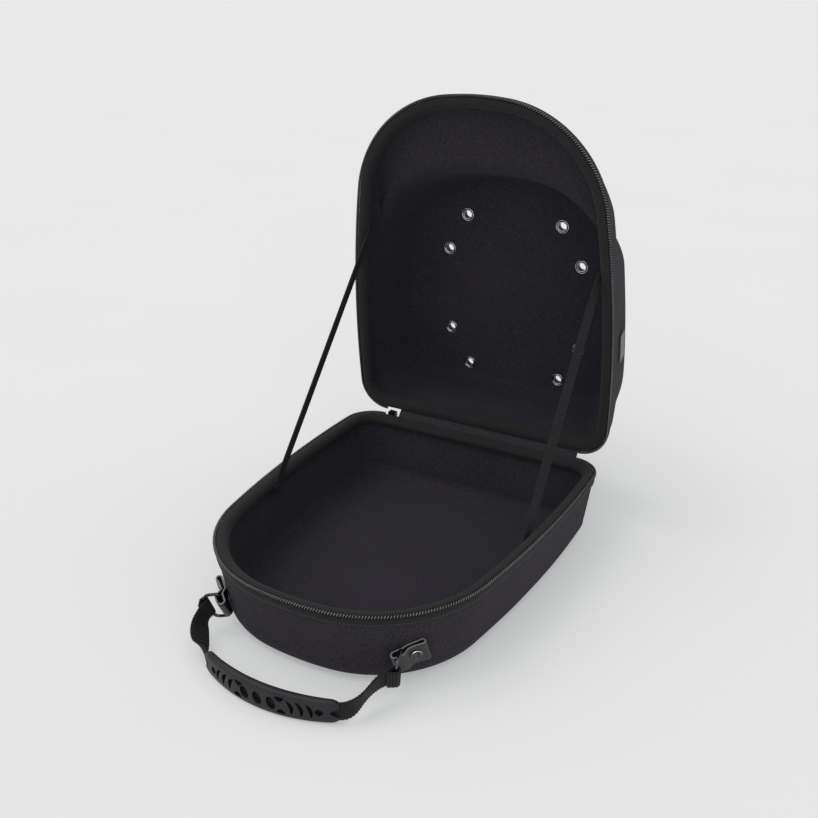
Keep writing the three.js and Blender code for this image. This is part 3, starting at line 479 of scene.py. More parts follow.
def started(name, roughness, **shine):
    """A new material, its node tree and the places on its piece"""
    material = bpy.data.materials.new(name)
    material.use_nodes = True
    tree = material.node_tree
    shader = tree.nodes["Principled BSDF"]
    shader.inputs["Roughness"].default_value = roughness
    for key, value in shine.items():
        shader.inputs[key.replace("_", " ")].default_value = value
    return material, tree, node(tree, "ShaderNodeTexCoord").outputs["Object"]


def finished(material, colour, roughness, height, strength, depth):
    """The material with its colour, roughness and a relief of some depth in millimetres"""
    tree = material.node_tree
    bump = node(tree, "ShaderNodeBump", {"Height": height, "Strength": strength, "Distance": depth * MM})
    shader = tree.nodes["Principled BSDF"]
    tree.links.new(colour, shader.inputs["Base Color"])
    tree.links.new(roughness, shader.inputs["Roughness"])
    tree.links.new(bump.outputs["Normal"], shader.inputs["Normal"])
    return material


def lattice(tree, where, pitch):
    """Crossing threads as a wave in all three directions, alike on every face, 0 to 1"""
    axes = node(tree, "ShaderNodeSeparateXYZ", {0: where}).outputs
    turns = [maths(tree, "MULTIPLY", axis, 2 * math.pi / (pitch * MM)) for axis in axes]
    waves = [maths(tree, "MULTIPLY", maths(tree, "SINE", turns[k]), maths(tree, "COSINE", turns[(k + 1) % 3]))
             for k in range(3)]
    total = maths(tree, "ADD", maths(tree, "ADD", waves[0], waves[1]), waves[2])
    return maths(tree, "MULTIPLY_ADD", total, 0.25, 0.5)


def moulded_cloth(name, dark, light, pitch, roughness, sheen):
    """Knitted cloth pressed over foam: fine threads, fluff and broad uneven shade"""
    material, tree, where = started(name, roughness, Sheen_Weight=sheen, Sheen_Roughness=0.5,
                                    Specular_IOR_Level=0.05)
    threads = lattice(tree, where, pitch)
    fluff = speckled(tree, where, scale=650, detail=5)
    broad = speckled(tree, where, scale=14, detail=2)
    colour = blended(tree, weighed(tree, (fluff, 0.6), (threads, 0.3), (broad, 0.12)), dark, light)
    height = weighed(tree, (fluff, 0.6), plus=threads)
    rough = weighed(tree, (fluff, 0.12), plus=roughness - 0.06)
    return finished(material, colour, rough, height, strength=0.35, depth=0.2)


def ribbed(name, dark, light, pitch, roughness, depth, cross=0.0):
    """Woven tape with ribs along u and, where cross isn't 0, fine threads along v"""
    material, tree, where = started(name, roughness, Sheen_Weight=0.06, Sheen_Roughness=0.45,
                                    Specular_IOR_Level=0.2)
    flat = node(tree, "ShaderNodeUVMap", uv_map="cloth").outputs["UV"]
    axes = node(tree, "ShaderNodeSeparateXYZ", {0: flat}).outputs
    turn = maths(tree, "MULTIPLY", axes[0], 2 * math.pi / (pitch * MM))
    ribs = weighed(tree, (maths(tree, "SINE", turn), 0.5), plus=0.5)
    if cross:
        thread = maths(tree, "MULTIPLY", axes[1], 2 * math.pi / (cross * MM))
        shifted = weighed(tree, (turn, 0.5), plus=thread)
        ribs = weighed(tree, (maths(tree, "SINE", shifted), 0.25), plus=ribs)
    fluff = speckled(tree, where, scale=1700, detail=3)
    colour = blended(tree, weighed(tree, (ribs, 0.6), (fluff, 0.35)), dark, light)
    height = weighed(tree, (fluff, 0.25), plus=ribs)
    rough = weighed(tree, (fluff, 0.15), plus=roughness - 0.08)
    return finished(material, colour, rough, height, strength=0.6, depth=depth)


def leather(name, dark, light, worn, roughness):
    """Coated cloth: pebbled grain, creases, and paler worn edges"""
    material, tree, where = started(name, roughness, Coat_Weight=0.25, Coat_Roughness=0.25)
    grain = node(tree, "ShaderNodeTexVoronoi", {"Vector": where, "Scale": 1500}, feature="DISTANCE_TO_EDGE")
    pebbles = maths(tree, "MINIMUM", maths(tree, "MULTIPLY", grain.outputs["Distance"], 6), 1)
    creases = speckled(tree, where, scale=220, detail=6)
    edge = node(tree, "ShaderNodeNewGeometry").outputs["Pointiness"]
    wear = node(tree, "ShaderNodeMapRange", {"Value": edge, "From Min": 0.53, "From Max": 0.62})
    wear = maths(tree, "MULTIPLY", wear.outputs["Result"], weighed(tree, (creases, 0.5), plus=0.4))
    colour = blended(tree, wear, blended(tree, creases, dark, light), worn)
    height = weighed(tree, (creases, 0.6), plus=pebbles)
    rough = weighed(tree, (creases, 0.18), plus=roughness - 0.08)
    return finished(material, colour, rough, height, strength=0.35, depth=0.15)


def metal(name, dull, bright, roughness, scratches):
    material, tree, where = started(name, roughness, Metallic=1.0)
    cloud = speckled(tree, where, scale=500, detail=5)
    fine = speckled(tree, where, scale=3500, detail=2)
    rough = weighed(tree, (fine, scratches), plus=roughness - scratches / 2)
    return finished(material, blended(tree, cloud, dull, bright), rough, fine, strength=0.1, depth=0.04)


def rubber(name, dark, light, roughness):
    material, tree, where = started(name, roughness, Specular_IOR_Level=0.3)
    matt = speckled(tree, where, scale=2600, detail=3)
    broad = speckled(tree, where, scale=60, detail=3)
    colour = blended(tree, weighed(tree, (matt, 0.4), (broad, 0.5)), dark, light)
    rough = weighed(tree, (matt, 0.14), plus=roughness - 0.07)
    return finished(material, colour, rough, matt, strength=0.25, depth=0.08)


CLOTH = moulded_cloth("cloth", grey(29, 28, 31), grey(64, 60, 67), pitch=0.9, roughness=0.9, sheen=0.03)
LINING = moulded_cloth("lining", grey(27, 26, 30), grey(60, 57, 65), pitch=0.8, roughness=0.9, sheen=0.05)
BINDING = ribbed("binding", grey(10, 10, 10), grey(43, 45, 43), pitch=2, roughness=0.8, depth=0.35, cross=0.8)
TAPE_CLOTH = ribbed("zip_tape_cloth", grey(20, 19, 20), grey(50, 48, 48),
                    pitch=0.7, roughness=0.8, depth=0.15, cross=0.7)
WEBBING = ribbed("webbing", grey(5, 5, 6), grey(40, 40, 42), pitch=2.3, roughness=0.7, depth=0.3, cross=1)
THREAD = ribbed("thread", grey(40, 39, 41), grey(85, 84, 88), pitch=0.5, roughness=0.6, depth=0.05)
LEATHER = leather("coated_cloth", grey(10, 10, 11), grey(22, 22, 24), grey(122, 122, 124), roughness=0.4)
PATCH = leather("patch_cloth", grey(30, 29, 33), grey(48, 46, 51), grey(80, 79, 84), roughness=0.6)
COIL = rubber("coil_plastic", grey(84, 87, 85), grey(130, 133, 130), roughness=0.3)
# Near-black painted shade, for the core seen between the coil's wires
GAP_SHADE = rubber("coil_gap_shade", grey(5, 5, 5), grey(14, 14, 14), roughness=0.9)
RUBBER = rubber("grip_rubber", grey(22, 22, 25), grey(42, 42, 46), roughness=0.45)
# Darker copy of the grip rubber: painted shade for the walls of the grip's cut-outs
RECESS_SHADE = rubber("grip_recess_shade", grey(9, 9, 10), grey(18, 18, 20), roughness=0.6)
TAB_EDGE = rubber("coated_cloth_edge", grey(104, 104, 105), grey(150, 150, 151), roughness=0.5)
DARK_METAL = metal("dark_metal", grey(50, 50, 53), grey(96, 96, 100), roughness=0.2, scratches=0.12)
SILVER = metal("silver", grey(205, 206, 208), grey(244, 245, 247), roughness=0.17, scratches=0.1)
# Painted shade for the eyelets' grooves and bores
SHADED = metal("shaded_metal", grey(16, 16, 18), grey(40, 40, 44), roughness=0.4, scratches=0.12)


# Outline of the case

def plan(length, bend, corner):
    """Stations round the outline: arc centre, radius, heading, side, and whether the zip is there"""
    front, shoulder, side = FRONT_RADIUS, bend["radius"], SIDE_RADIUS
    end = math.radians(bend["end"])
    rise = math.sin(end)
    front_end = math.asin((WIDTH / 2 - shoulder * rise - side * (1 - rise)) / (front - shoulder))

    def centre(x, y, change, turn):
        return x + change * math.sin(turn), y - change * math.cos(turn)

    front_at = (0, LENGTH / 2 - length + front)
    shoulder_at = centre(*front_at, front - shoulder, front_end)
    side_at = centre(*shoulder_at, shoulder - side, end)
    side_end = math.acos((side_at[1] + corner - LENGTH / 2) / (side - corner))
    corner_at = centre(*side_at, side - corner, side_end)
    arcs = (
        (front_at, front, 0, front_end, ARC_STEPS["front"]),
        (shoulder_at, shoulder, front_end, end, ARC_STEPS["shoulder"]),
        (side_at, side, end, side_end, ARC_STEPS["side"]),
        (corner_at, corner, side_end, math.pi, ARC_STEPS["corner"]),
    )
    half = [(*front_at, front, 0, True)]
    for at, radius, start, stop, steps in arcs:
        half += [(*at, radius, lerp(start, stop, step / steps), True) for step in range(1, steps + 1)]
    back = ARC_STEPS["back"]
    half += [(corner_at[0] * (1 - step / back), corner_at[1], corner, math.pi, False)
             for step in range(1, back + 1)]
    ring = [(*station, 1) for station in half] + [(*station, -1) for station in half[-2:0:-1]]
    return {"ring": np.array(ring, float), "shoulder_at": shoulder_at, "side_at": side_at}


PLAN = plan(LENGTH, SHOULDER, BACK_CORNER)
CROWN_PLAN = plan(LENGTH - CROWN_SETBACK, CROWN_SHOULDER, CROWN_CORNER)


def outline(ring, inset, z):
    """The outline moved in by an inset, at a height; both may vary from station to station"""
    x, y, radius, turn, _, side = ring.T
    reach = radius - inset
    return np.stack([side * (x + reach * np.sin(turn)), y - reach * np.cos(turn), z + 0 * x], -1)


def half_width(y, inset):
    reach = SIDE_RADIUS - inset
    return PLAN["side_at"][0] + math.sqrt(reach ** 2 - (y - PLAN["side_at"][1]) ** 2)


# Moulded shells

def thickened(rows):
    """The inner face: a wall's thickness inside the rows, and straight behind the rim's bands"""
    way = np.sign(rows[0, 0, 2] - rows[-1, 0, 2])
    along = np.gradient(rows, axis=0)
    around = np.roll(rows, -1, 1) - np.roll(rows, 1, 1)
    inner = rows + unit(np.cross(around, along)) * way * WALL
    inner[-1] = rows[-1] + vec(0, 0, way * WALL)
    straight = [r for r in range(len(rows)) if abs(rows[r, 0, 2] - rows[0, 0, 2]) <= RIM_BAND - EDGE_DROP]
    for r in straight:
        share = ease(r, len(straight) - RIM_BLEND, len(straight))
        inner[r] = lerp(outline(PLAN["ring"], RIM_SEAT + WALL, rows[r, 0, 2]), inner[r], share)
    return inner


def filled(rim):
    """Rings from a flat rim towards its middle"""
    middle = rim.mean(0)
    return np.array([lerp(rim, middle, share) for share in FLOOR_SHARES])


def softened(rings):
    """A slight unevenness, as pressed foam has, fading out at the rim and the floor"""
    points = rings.reshape(-1, 3)
    low, high = points[:, 2].min(), points[:, 2].max()
    noise.seed_set(SOFT_WAVE["seed"])
    wave = np.array([noise.noise_vector(Vector(p) / SOFT_WAVE["long"]) for p in points])
    near, full = SOFT_WAVE["from"], SOFT_WAVE["full"]
    fade = ease(points[:, 2], low + near, low + full) * (1 - ease(points[:, 2], high - full, high - near))
    return (points + wave * SOFT_WAVE["high"] * fade[:, None]).reshape(rings.shape)


def shell(rows):
    """Rings from the middle of the outer face over the rim to the middle of the lining"""
    inner = thickened(rows)
    outer_part = np.concatenate([filled(rows[-1])[::-1], rows[::-1]])
    inner_part = np.concatenate([inner, filled(inner[-1])])
    rings = softened(np.concatenate([outer_part, inner_part]))
    marks = np.concatenate([np.zeros(len(outer_part), int), np.ones(len(inner_part) - 1, int)])
    return rings, marks


def tray_rows():
    ring = PLAN["ring"]
    straight = np.linspace(EDGE_DROP, RIM_BAND, TRAY_STEPS["rim"])
    rows = [outline(ring, RIM_SEAT, BASE_HEIGHT - drop) for drop in straight]
    top, steps, arc = BASE_HEIGHT - RIM_BAND, TRAY_STEPS["wall"], TRAY_STEPS["round"]
    for step in range(1, steps):
        share = step / steps
        rows.append(outline(ring, RIM_SEAT + BASE_SLOPE * share, lerp(top, BASE_ROUND, share)))
    for step in range(arc + 1):
        turn = (step / arc) * math.pi / 2
        inset = RIM_SEAT + BASE_SLOPE + BASE_ROUND * (1 - math.cos(turn))
        rows.append(outline(ring, inset, BASE_ROUND * (1 - math.sin(turn))))
    return np.array(rows)


def lid_rows():
    ring, crown_ring = PLAN["ring"], CROWN_PLAN["ring"]
    turn = ring[:, 3]
    front = ease(np.cos(turn), math.cos(math.radians(SHOULDER["end"])), LEDGE_FULL)
    back = ease(turn, math.pi / 2, math.pi)

    def blend(fore, side, aft):
        return lerp(lerp(side, aft, back), fore, front)

    rows = [outline(ring, RIM_SEAT, LID_RIM + drop) for drop in (EDGE_DROP, RIM_BAND)]
    for row in zip(*LID_COLUMNS.values()):
        front_in, tier, crown, on_crown, side_in, side_down, back_in, back_down = row
        front_down = tier * TIER_DEPTH + crown * (LID_DEPTH - TIER_DEPTH)
        inset = RIM_SEAT + blend(front_in * FRONT_SLOPE, side_in * SIDE_SLOPE, back_in * BACK_SLOPE)
        z = LID_RIM + blend(front_down, side_down * LID_DEPTH, back_down * LID_DEPTH)
        share = lerp(on_crown, side_down, back)[:, None]
        rows.append(lerp(outline(ring, inset, z), outline(crown_ring, inset, z), share))
    return curve_through(rows, ROW_STEPS)


def tray():
    rings, marks = shell(tray_rows())
    put(lofted("tray", rings, [CLOTH, LINING], marks=marks, sharp=SMOOTH), "shell_fabric", "base_shell")


def eyelet_places():
    return [vec(side * apart * WIDTH / 2, HINGE_Y - from_hinge * LENGTH, LID_RIM + LID_DEPTH)
            for from_hinge, apart in EYELET_ROWS for side in (-1, 1)]


def lid():
    rings, marks = shell(lid_rows())
    piece = lofted("lid", swung(rings), [CLOTH, LINING], marks=marks, sharp=SMOOTH)
    radius = EYELET_HOLE + EYELET_RIM
    turn = circle(EYELET_STEPS["hole"])
    flat = np.stack([radius * np.cos(turn), radius * np.sin(turn), 0 * turn], -1)
    posts = [[swung(flat + place + vec(0, 0, level)) for level in (-4 * WALL, 2 * WALL)]
             for place in eyelet_places()]
    cut(piece, new_piece("lid_cutter", *solids(posts), [LINING]))
    put(piece, "shell_fabric", "lid_shell")


# Rim: binding, tape, coil and the stitches that hold the tape

def zip_ring():
    ring = PLAN["ring"]
    right = ring[(ring[:, 5] > 0) & (ring[:, 4] > 0)]
    left = ring[(ring[:, 5] < 0) & (ring[:, 4] > 0)]
    return np.concatenate([left, right])


def spread(points, count):
    """A number of places evenly along a path, by any number of columns"""
    far = measured(points, False)
    wanted = np.linspace(0, far[-1], count)
    return np.stack([np.interp(wanted, far, column) for column in points.T], -1)


def evenly(points, pitch):
    return spread(points, int(measured(points, False)[-1] // pitch) + 1)


def banded(half, ring, section):
    """A section of (inset, way down from the rim) drawn round a rim"""
    return half["place"](np.stack([outline(ring, inset, half["rim"] + half["way"] * down)
                                   for inset, down in section], 1))


def binding(half):
    seat, cover = RIM_SEAT + WALL, EDGE_DROP - CLEAR
    section = curve_through([
        vec(RIM_SEAT, cover), vec(RIM_SEAT, cover * 0.3), vec(RIM_SEAT + WALL * 0.35, 0),
        *[vec(seat + BINDING_RIDGE * inset, RIM_BAND * down) for inset, down in BINDING_BULGE],
        vec(seat + CLEAR, RIM_BAND), vec(seat + CLEAR, cover),
    ], steps=3, closed=True)
    section[:, 1] = np.maximum(section[:, 1], 0)
    rings = banded(half, PLAN["ring"], section)
    piece = lofted(half["name"] + "_rim_binding", rings, [BINDING], loop=True, sharp=60)
    put(piece, "binding", half["node"] + "_binding")


def tape(half):
    face, top = RIM_SEAT - CLEAR, EDGE_DROP + CLEAR
    section = [(face, top), (face - TAPE * 0.7, top), (face - TAPE, top + TAPE * 0.4),
               (face - TAPE, RIM_BAND - TAPE / 2), (face - TAPE * 0.6, RIM_BAND), (face, RIM_BAND)]
    piece = lofted(half["name"] + "_tape", banded(half, zip_ring(), section), [TAPE_CLOTH], sharp=60)
    put(piece, "zip_tape", half["node"] + "_zip_tape")


def coil(half):
    """The zip's coil, wound round a near-black core that closes the view between its wires: painted shade for
    the gaps
    """
    rail = evenly(outline(zip_ring(), COIL_MIDDLE, half["rim"]), COIL_PITCH / COIL_STEPS)
    out = unit(spread(outline(zip_ring(), 0, half["rim"]), len(rail)) - rail)
    turn = np.arange(len(rail)) * 2 * math.pi / COIL_STEPS
    wide, high = COIL_WIDTH / 2 - COIL_WIRE, COIL_HEIGHT / 2 - COIL_WIRE
    path = rail + out * (wide * np.cos(turn))[:, None]
    path[:, 2] += half["way"] * (EDGE_DROP - COIL_HEIGHT / 2) + high * np.sin(turn)
    name = half["name"] + "_coil"
    piece = tube(name, half["place"](path), COIL_WIRE, COIL, COIL_SIDES, vec(*COIL_TILT), loop=False)
    put(piece, "zip_coil", half["node"] + "_zip_coil")

    # The core: painted shade that darkens the gaps between the coil's wires
    upper, lower = EDGE_DROP - COIL_HEIGHT + COIL_WIRE, EDGE_DROP + 2 * CLEAR
    section = [(COIL_MIDDLE + wide * squared(math.cos(t), 0.5),
                (upper + lower) / 2 + squared(math.sin(t), 0.5) * (lower - upper) / 2)
               for t in circle(GAP_SHADE_SIDES)]
    put(lofted(name + "_gap_shade", banded(half, zip_ring(), section), [GAP_SHADE], sharp=SMOOTH), "zip_tape")


def stitches(half):
    """A row of short threads lying on the tape"""
    inset = RIM_SEAT - CLEAR - TAPE - STITCH["thick"] * STITCH["sunk"]
    z = half["rim"] + half["way"] * (RIM_BAND - STITCH["from_edge"])
    line = evenly(outline(zip_ring(), inset, z), pitch=0.5)
    far = measured(line, False)
    turn = circle(STITCH["sides"])[:, None]
    threads = []
    for k in range(1, int(far[-1] // STITCH["pitch"])):
        ends = [k * STITCH["pitch"] + end * STITCH["long"] for end, _ in STITCH_SHAPE]
        spots = np.stack([np.interp(ends, far, column) for column in line.T], -1)
        run = unit(spots[-1] - spots[0])
        out = vec(run[1], -run[0], 0)
        threads.append([spot + STITCH["thick"] * thick * (np.cos(turn) * out - np.sin(turn) * vec(0, 0, 1))
                        for spot, (_, thick) in zip(spots, STITCH_SHAPE)])
    points, faces = solids(threads)
    uvs = [[p[0] + p[1], p[2]] for face in faces for p in (points[i] for i in face)]
    points = half["place"](np.array(points))
    put(new_piece(half["name"] + "_stitches", points, faces, [THREAD], uvs, sharp=SMOOTH), "zip_tape")


def rims():
    for half in (
        {"name": "tray", "node": "base", "rim": BASE_HEIGHT, "way": -1, "place": np.asarray},
        {"name": "lid", "node": "lid", "rim": LID_RIM, "way": 1, "place": swung},
    ):
        binding(half)
        tape(half)
        coil(half)
        stitches(half)


# Eyelets, stays

def eyelets():
    """A tube through the crown; its flanges have a rolled edge, a groove and a rolled lip; the groove and the
    bore carry painted shade
    """
    edge = [(EYELET_FLANGE - EYELET_EDGE * (1 - math.cos(t)), CLEAR + EYELET_EDGE * (1 + math.sin(t)))
            for t in np.linspace(-math.pi / 2, math.pi, EYELET_STEPS["edge"])]
    lip = [(EYELET_HOLE + EYELET_RIM / 2 * (1 + math.cos(t)), CLEAR + EYELET_RIM / 2 * (1 + math.sin(t)))
           for t in np.linspace(0, math.pi, EYELET_STEPS["lip"])]
    groove = [(EYELET_FLANGE - 2 * EYELET_EDGE, CLEAR + EYELET_GROOVE),
              (EYELET_HOLE + EYELET_RIM, CLEAR + EYELET_GROOVE)]
    upper = edge + groove + lip
    lower = [(radius, -WALL - height) for radius, height in upper[::-1]]
    body = EYELET_HOLE + EYELET_RIM - CLEAR
    under_flanges = [(body, -WALL - CLEAR), (body, CLEAR)]
    # Marks of 1 take the painted shade: the groove on each flange and the bore of the tube
    flange_marks = [0] * len(edge) + [1] + [0] * len(lip)
    marks = flange_marks + [1] + flange_marks[::-1] + [0] * (len(under_flanges) + 1)
    for k, at in enumerate(eyelet_places()):
        piece = lathed(f"eyelet_ring_{k + 1}", upper + lower + under_flanges, marks, [SILVER, SHADED],
                       lambda rings, at=at: swung(rings + at))
        put(piece, "eyelet_metal", f"eyelet_{k + 1}")


def band_rings(points, wide, width, thick, rib):
    """A flat band with rounded edges along a path, its faces ribbed across"""
    flat, face = frames_along(points, wide)
    half, deep = width / 2, thick / 2
    under = [(-1, -0.4), *[(u, -1) for u in (-0.97, -0.6, -0.2, 0.2, 0.6, 0.97)], (1, -0.4)]
    section = under + [(-u, -v) for u, v in under]
    wave = rib["high"] * (np.sin(2 * math.pi * measured(points, False) / rib["pitch"]) - 1)
    return np.stack([points + flat * (u * (half + 0.5 * wave))[:, None] + face * (v * (deep + wave))[:, None]
                     for u, v in section], 1)


def stays():
    inset = RIM_SEAT + WALL + BINDING_RIDGE + CLEAR + STAY_THICK / 2
    share = np.linspace(0, 1, STAY_POINTS)
    for stay in STAYS:
        lid_y, base_y = HINGE_Y - stay["lid"], HINGE_Y - stay["base"]
        top = swung(vec(stay["side"] * half_width(lid_y, inset), lid_y, LID_RIM + STAY_DROP))
        foot = vec(stay["side"] * half_width(base_y, inset), base_y, BASE_HEIGHT - stay["low"])
        run = unit(foot - top)
        across = unit(np.cross(run, vec(1, 0, 0)))
        twist = [math.radians(stay["turn"]) * math.sin(math.pi * s) ** STAY_TWIST for s in share]
        wide = np.array([turned(across, run, angle) for angle in twist])
        rings = band_rings(lerp(top, foot, share[:, None]), wide, STAY_WIDTH, STAY_THICK, STAY_RIB)
        piece = lofted("stay_band_" + stay["name"], rings, [WEBBING], sharp=60)
        put(piece, "webbing", "stay_" + stay["name"])


# Handle: tabs, rivets, rings, strap and grip

def tab_frame(tab):
    side, heading = tab["side"], math.radians(tab["heading"])
    top = BASE_HEIGHT - RIM_BAND
    inset = RIM_SEAT + BASE_SLOPE * (top - TAB_RISE) / (top - BASE_ROUND)
    reach = SHOULDER["radius"] - inset
    draft = math.atan2(BASE_SLOPE, top - BASE_ROUND)
    x, y = PLAN["shoulder_at"]
    place = vec(side * (x + reach * math.sin(heading)), y - reach * math.cos(heading), TAB_RISE)
    out = (vec(side * math.sin(heading), -math.cos(heading), 0) * math.cos(draft)
           + vec(0, 0, -math.sin(draft)))
    level = vec(side * math.cos(heading), math.sin(heading), 0)
    fold = unit(turned(level, out, side * math.radians(TAB_DROOP)))
    return {"axes": np.stack([fold, out, np.cross(fold, out)]), "at": place + out * CLEAR}


def placed(points, spot):
    return np.asarray(points) @ spot["axes"] + spot["at"]


def tab_outline(inward):
    """The folded strip seen from above, its outer face moved in by so much"""
    half, middle = TAB_DEPTH / 2 - inward, TAB_DEPTH / 2
    loop_at = RIVET_FROM_FOLD - TAB_LENGTH + middle
    fold_at = RIVET_FROM_FOLD - TAB_FOLD

    def bend(at, depth, radius, start):
        return [(at + radius * math.cos(t), depth + radius * math.sin(t))
                for t in np.linspace(start, start + math.pi, TAB_ARC)]

    pinch = TAB_PINCH - inward
    return np.array([
        *bend(loop_at, middle, half, math.pi / 2),
        (-TAB_BELLY, inward), (-2 * RIVET_POST, inward), (2 * RIVET_POST, inward),
        *bend(fold_at, TAB_FOLD, TAB_FOLD - inward, 1.5 * math.pi),
        (2 * RIVET_POST, pinch), (-2 * RIVET_POST, pinch), (-TAB_BELLY, TAB_BACK - inward),
    ])


def tab_pull(tab, x, z):
    """How far the leaning ring pulls the strip outwards"""
    share = np.clip((-2 * RIVET_POST - x) / (TAB_BELLY - 2 * RIVET_POST), 0, 1)
    return share * math.tan(math.radians(tab["lean"])) * (TAB_WIDTH / 2 - tab["side"] * z)


def tab_piece(tab):
    outer = curve_through(tab_outline(0), steps=3, closed=True)
    inner = curve_through(tab_outline(TAB_THICK), steps=3, closed=True)
    edge = [(-1, 0.3), (-0.985, 0.08), (-0.95, 0), (-0.6, 0)]
    face = edge + [(0, 0)] + [(-wide, deep) for wide, deep in edge[::-1]]
    section = face + [(-wide, 1 - deep) for wide, deep in face]
    rings = []
    for a, b in zip(outer, inner):
        row = []
        for wide, deep in section:
            x, y = lerp(a, b, deep)
            z = wide * TAB_WIDTH / 2
            taper = TAB_TAPER * (2 * (x - RIVET_FROM_FOLD) / TAB_LENGTH + 1)
            row.append((x, y + tab_pull(tab, x, z), z * (1 + taper)))
        rings.append(row)
    marks = np.zeros((len(rings), len(section)), int)
    marks[:, [0, len(face) - 2, len(face) - 1, len(face), -2, -1]] = 1
    piece = lofted("tab_strip_" + tab["name"], placed(rings, tab_frame(tab)), [LEATHER, TAB_EDGE],
                   loop=True, marks=marks, sharp=60)
    put(piece, "leatherette", "tab_" + tab["name"])


def rivet(tab):
    """A post and a domed cap with a bright edge"""
    top = TAB_PINCH + CLEAR
    chamfer, edge = RIVET_EDGE["chamfer"], RIVET_EDGE["high"]
    dome = [(RIVET_CAP * math.sin(t) ** 0.8, top + edge + (RIVET_CAP_HIGH - edge) * math.cos(t))
            for t in np.linspace(math.pi / 2, 0.02, RIVET_STEPS)]
    under = [(0.01, 0), (RIVET_POST, 0), (RIVET_POST, top),
             (RIVET_CAP - chamfer, top), (RIVET_CAP, top + chamfer)]
    profile = under + dome + [(0.01, top + RIVET_CAP_HIGH)]
    bright = len(under) - 2
    marks = [int(bright <= k < bright + RIVET_EDGE["bright"]) for k in range(len(profile))]
    piece = lathed("rivet_cap_" + tab["name"], profile, marks, [DARK_METAL, SILVER],
                   lambda rings: placed(rings[..., [0, 2, 1]], tab_frame(tab)))
    put(piece, "black_metal", "rivet_" + tab["name"])


def ring_frame(tab):
    """The middle of the ring's straight bar, and the ways across the ring and along the bar"""
    side, droop = tab["side"], math.radians(TAB_DROOP)
    lean, swing = math.radians(tab["lean"]), math.radians(tab["swing"])
    up = vec(math.sin(droop), 0, -side * math.cos(droop))
    along = vec(math.cos(droop), 0, side * math.sin(droop))
    out = vec(0, 1, 0)
    x = RIVET_FROM_FOLD - TAB_LENGTH + RING_BAR_AT
    bar = vec(x, TAB_DEPTH / 2 + tab_pull(tab, x, 0), 0)
    upright = up * math.cos(lean) + out * math.sin(lean)
    away = (out * math.cos(lean) - up * math.sin(lean)) * math.cos(swing) + along * math.sin(swing)
    return bar, away, upright


def ring(tab):
    bar, away, upright = ring_frame(tab)
    half, far = RING_INNER / 2 + RING_WIRE, RING_DEPTH + RING_WIRE
    near, wide = RING_BAR_CORNER, RING_FAR_CORNER
    corners = (
        (near, half - near, near, 0.5), (near, near - half, near, 1),
        (far - wide, wide - half, wide, 1.5), (far - wide, half - wide, wide, 2),
    )
    path = np.array([(x + r * math.cos(t), z + r * math.sin(t)) for x, z, r, start in corners
                     for t in np.linspace(start, start + 0.5, RING_ARC) * math.pi])
    dense = []
    for a, b in zip(path, np.roll(path, -1, 0)):
        count = max(1, int(np.linalg.norm(b - a) // RING_STEP))
        dense += [lerp(a, b, step / count) for step in range(count)]
    points = np.array([bar + away * x + upright * z for x, z in dense])
    spot = tab_frame(tab)
    plane = unit(np.cross(away, upright)) @ spot["axes"]
    piece = tube("ring_wire_" + tab["name"], placed(points, spot), RING_WIRE, DARK_METAL, RING_SIDES, plane)
    put(piece, "black_metal", "d_ring_" + tab["name"])


def grip_point(along, out, up):
    """A place by its way along the curved grip, outwards from its middle line and up"""
    turn = along / GRIP_RADIUS
    reach = GRIP_RADIUS - GRIP_THICK / 2 + out
    middle = vec(GRIP_SHIFT, GRIP_RADIUS - GRIP_REACH - LENGTH / 2, GRIP_HEIGHT / 2)
    return middle + vec(reach * math.sin(turn), -reach * math.cos(turn), up)


def bezier(a, b, c, d, t):
    return a * (1 - t) ** 3 + 3 * b * t * (1 - t) ** 2 + 3 * c * t * t * (1 - t) + d * t ** 3


def strap_end(tab):
    """Middle line and width direction from the grip's end to the ring and through its eye"""
    side = tab["side"]
    bar, away, upright = ring_frame(tab)
    spot = tab_frame(tab)
    wire = placed(bar + away * (RING_DEPTH + RING_WIRE), spot)
    wide = unit(upright @ spot["axes"])
    leave = np.array(tab["leave"], float)
    leave = unit(leave - wide * np.dot(leave, wide))
    apart = np.cross(leave, wide) * -side
    loop = RING_WIRE + EYE_SLACK + STRAP_THICK / 2
    start = grip_point(side * GRIP_LENGTH / 2, 0, 0)
    onward = unit(grip_point(side * (GRIP_LENGTH / 2 + 1), 0, 0) - start)
    near = wire + leave * 2 * loop - apart * (STRAP_THICK / 2 + CLEAR)
    reach = np.linalg.norm(near - start) / 3
    curve = (start, start + onward * reach, near + leave * reach, near)
    rows = []
    for share in np.linspace(0, 1, STRAP_ROWS["end"])[1:]:
        turning = lerp(vec(0, 0, 1), vec(*tab["turned"]), ease(share, 0, 0.5))
        rows.append((bezier(*curve, share), unit(lerp(turning, wide, ease(share, 0.6, 1)))))
    rows.append((wire - apart * loop, wide))
    for turn in np.radians(EYE_TURNS):
        rows.append((wire + leave * loop * math.cos(turn) + apart * loop * math.sin(turn), wide))
    rows.append((wire + apart * loop, wide))
    way = np.array([bezier(*curve, t) for t in np.linspace(0, 1, STRAP_ROWS["length"])])
    tail = (EYE_TAIL - 2 * loop) / measured(way, False)[-1]
    for share in (1, 1 - tail / 2, 1 - tail):
        rows.append((bezier(*curve, share) + apart * (STRAP_THICK + 2 * CLEAR), wide))
    return rows


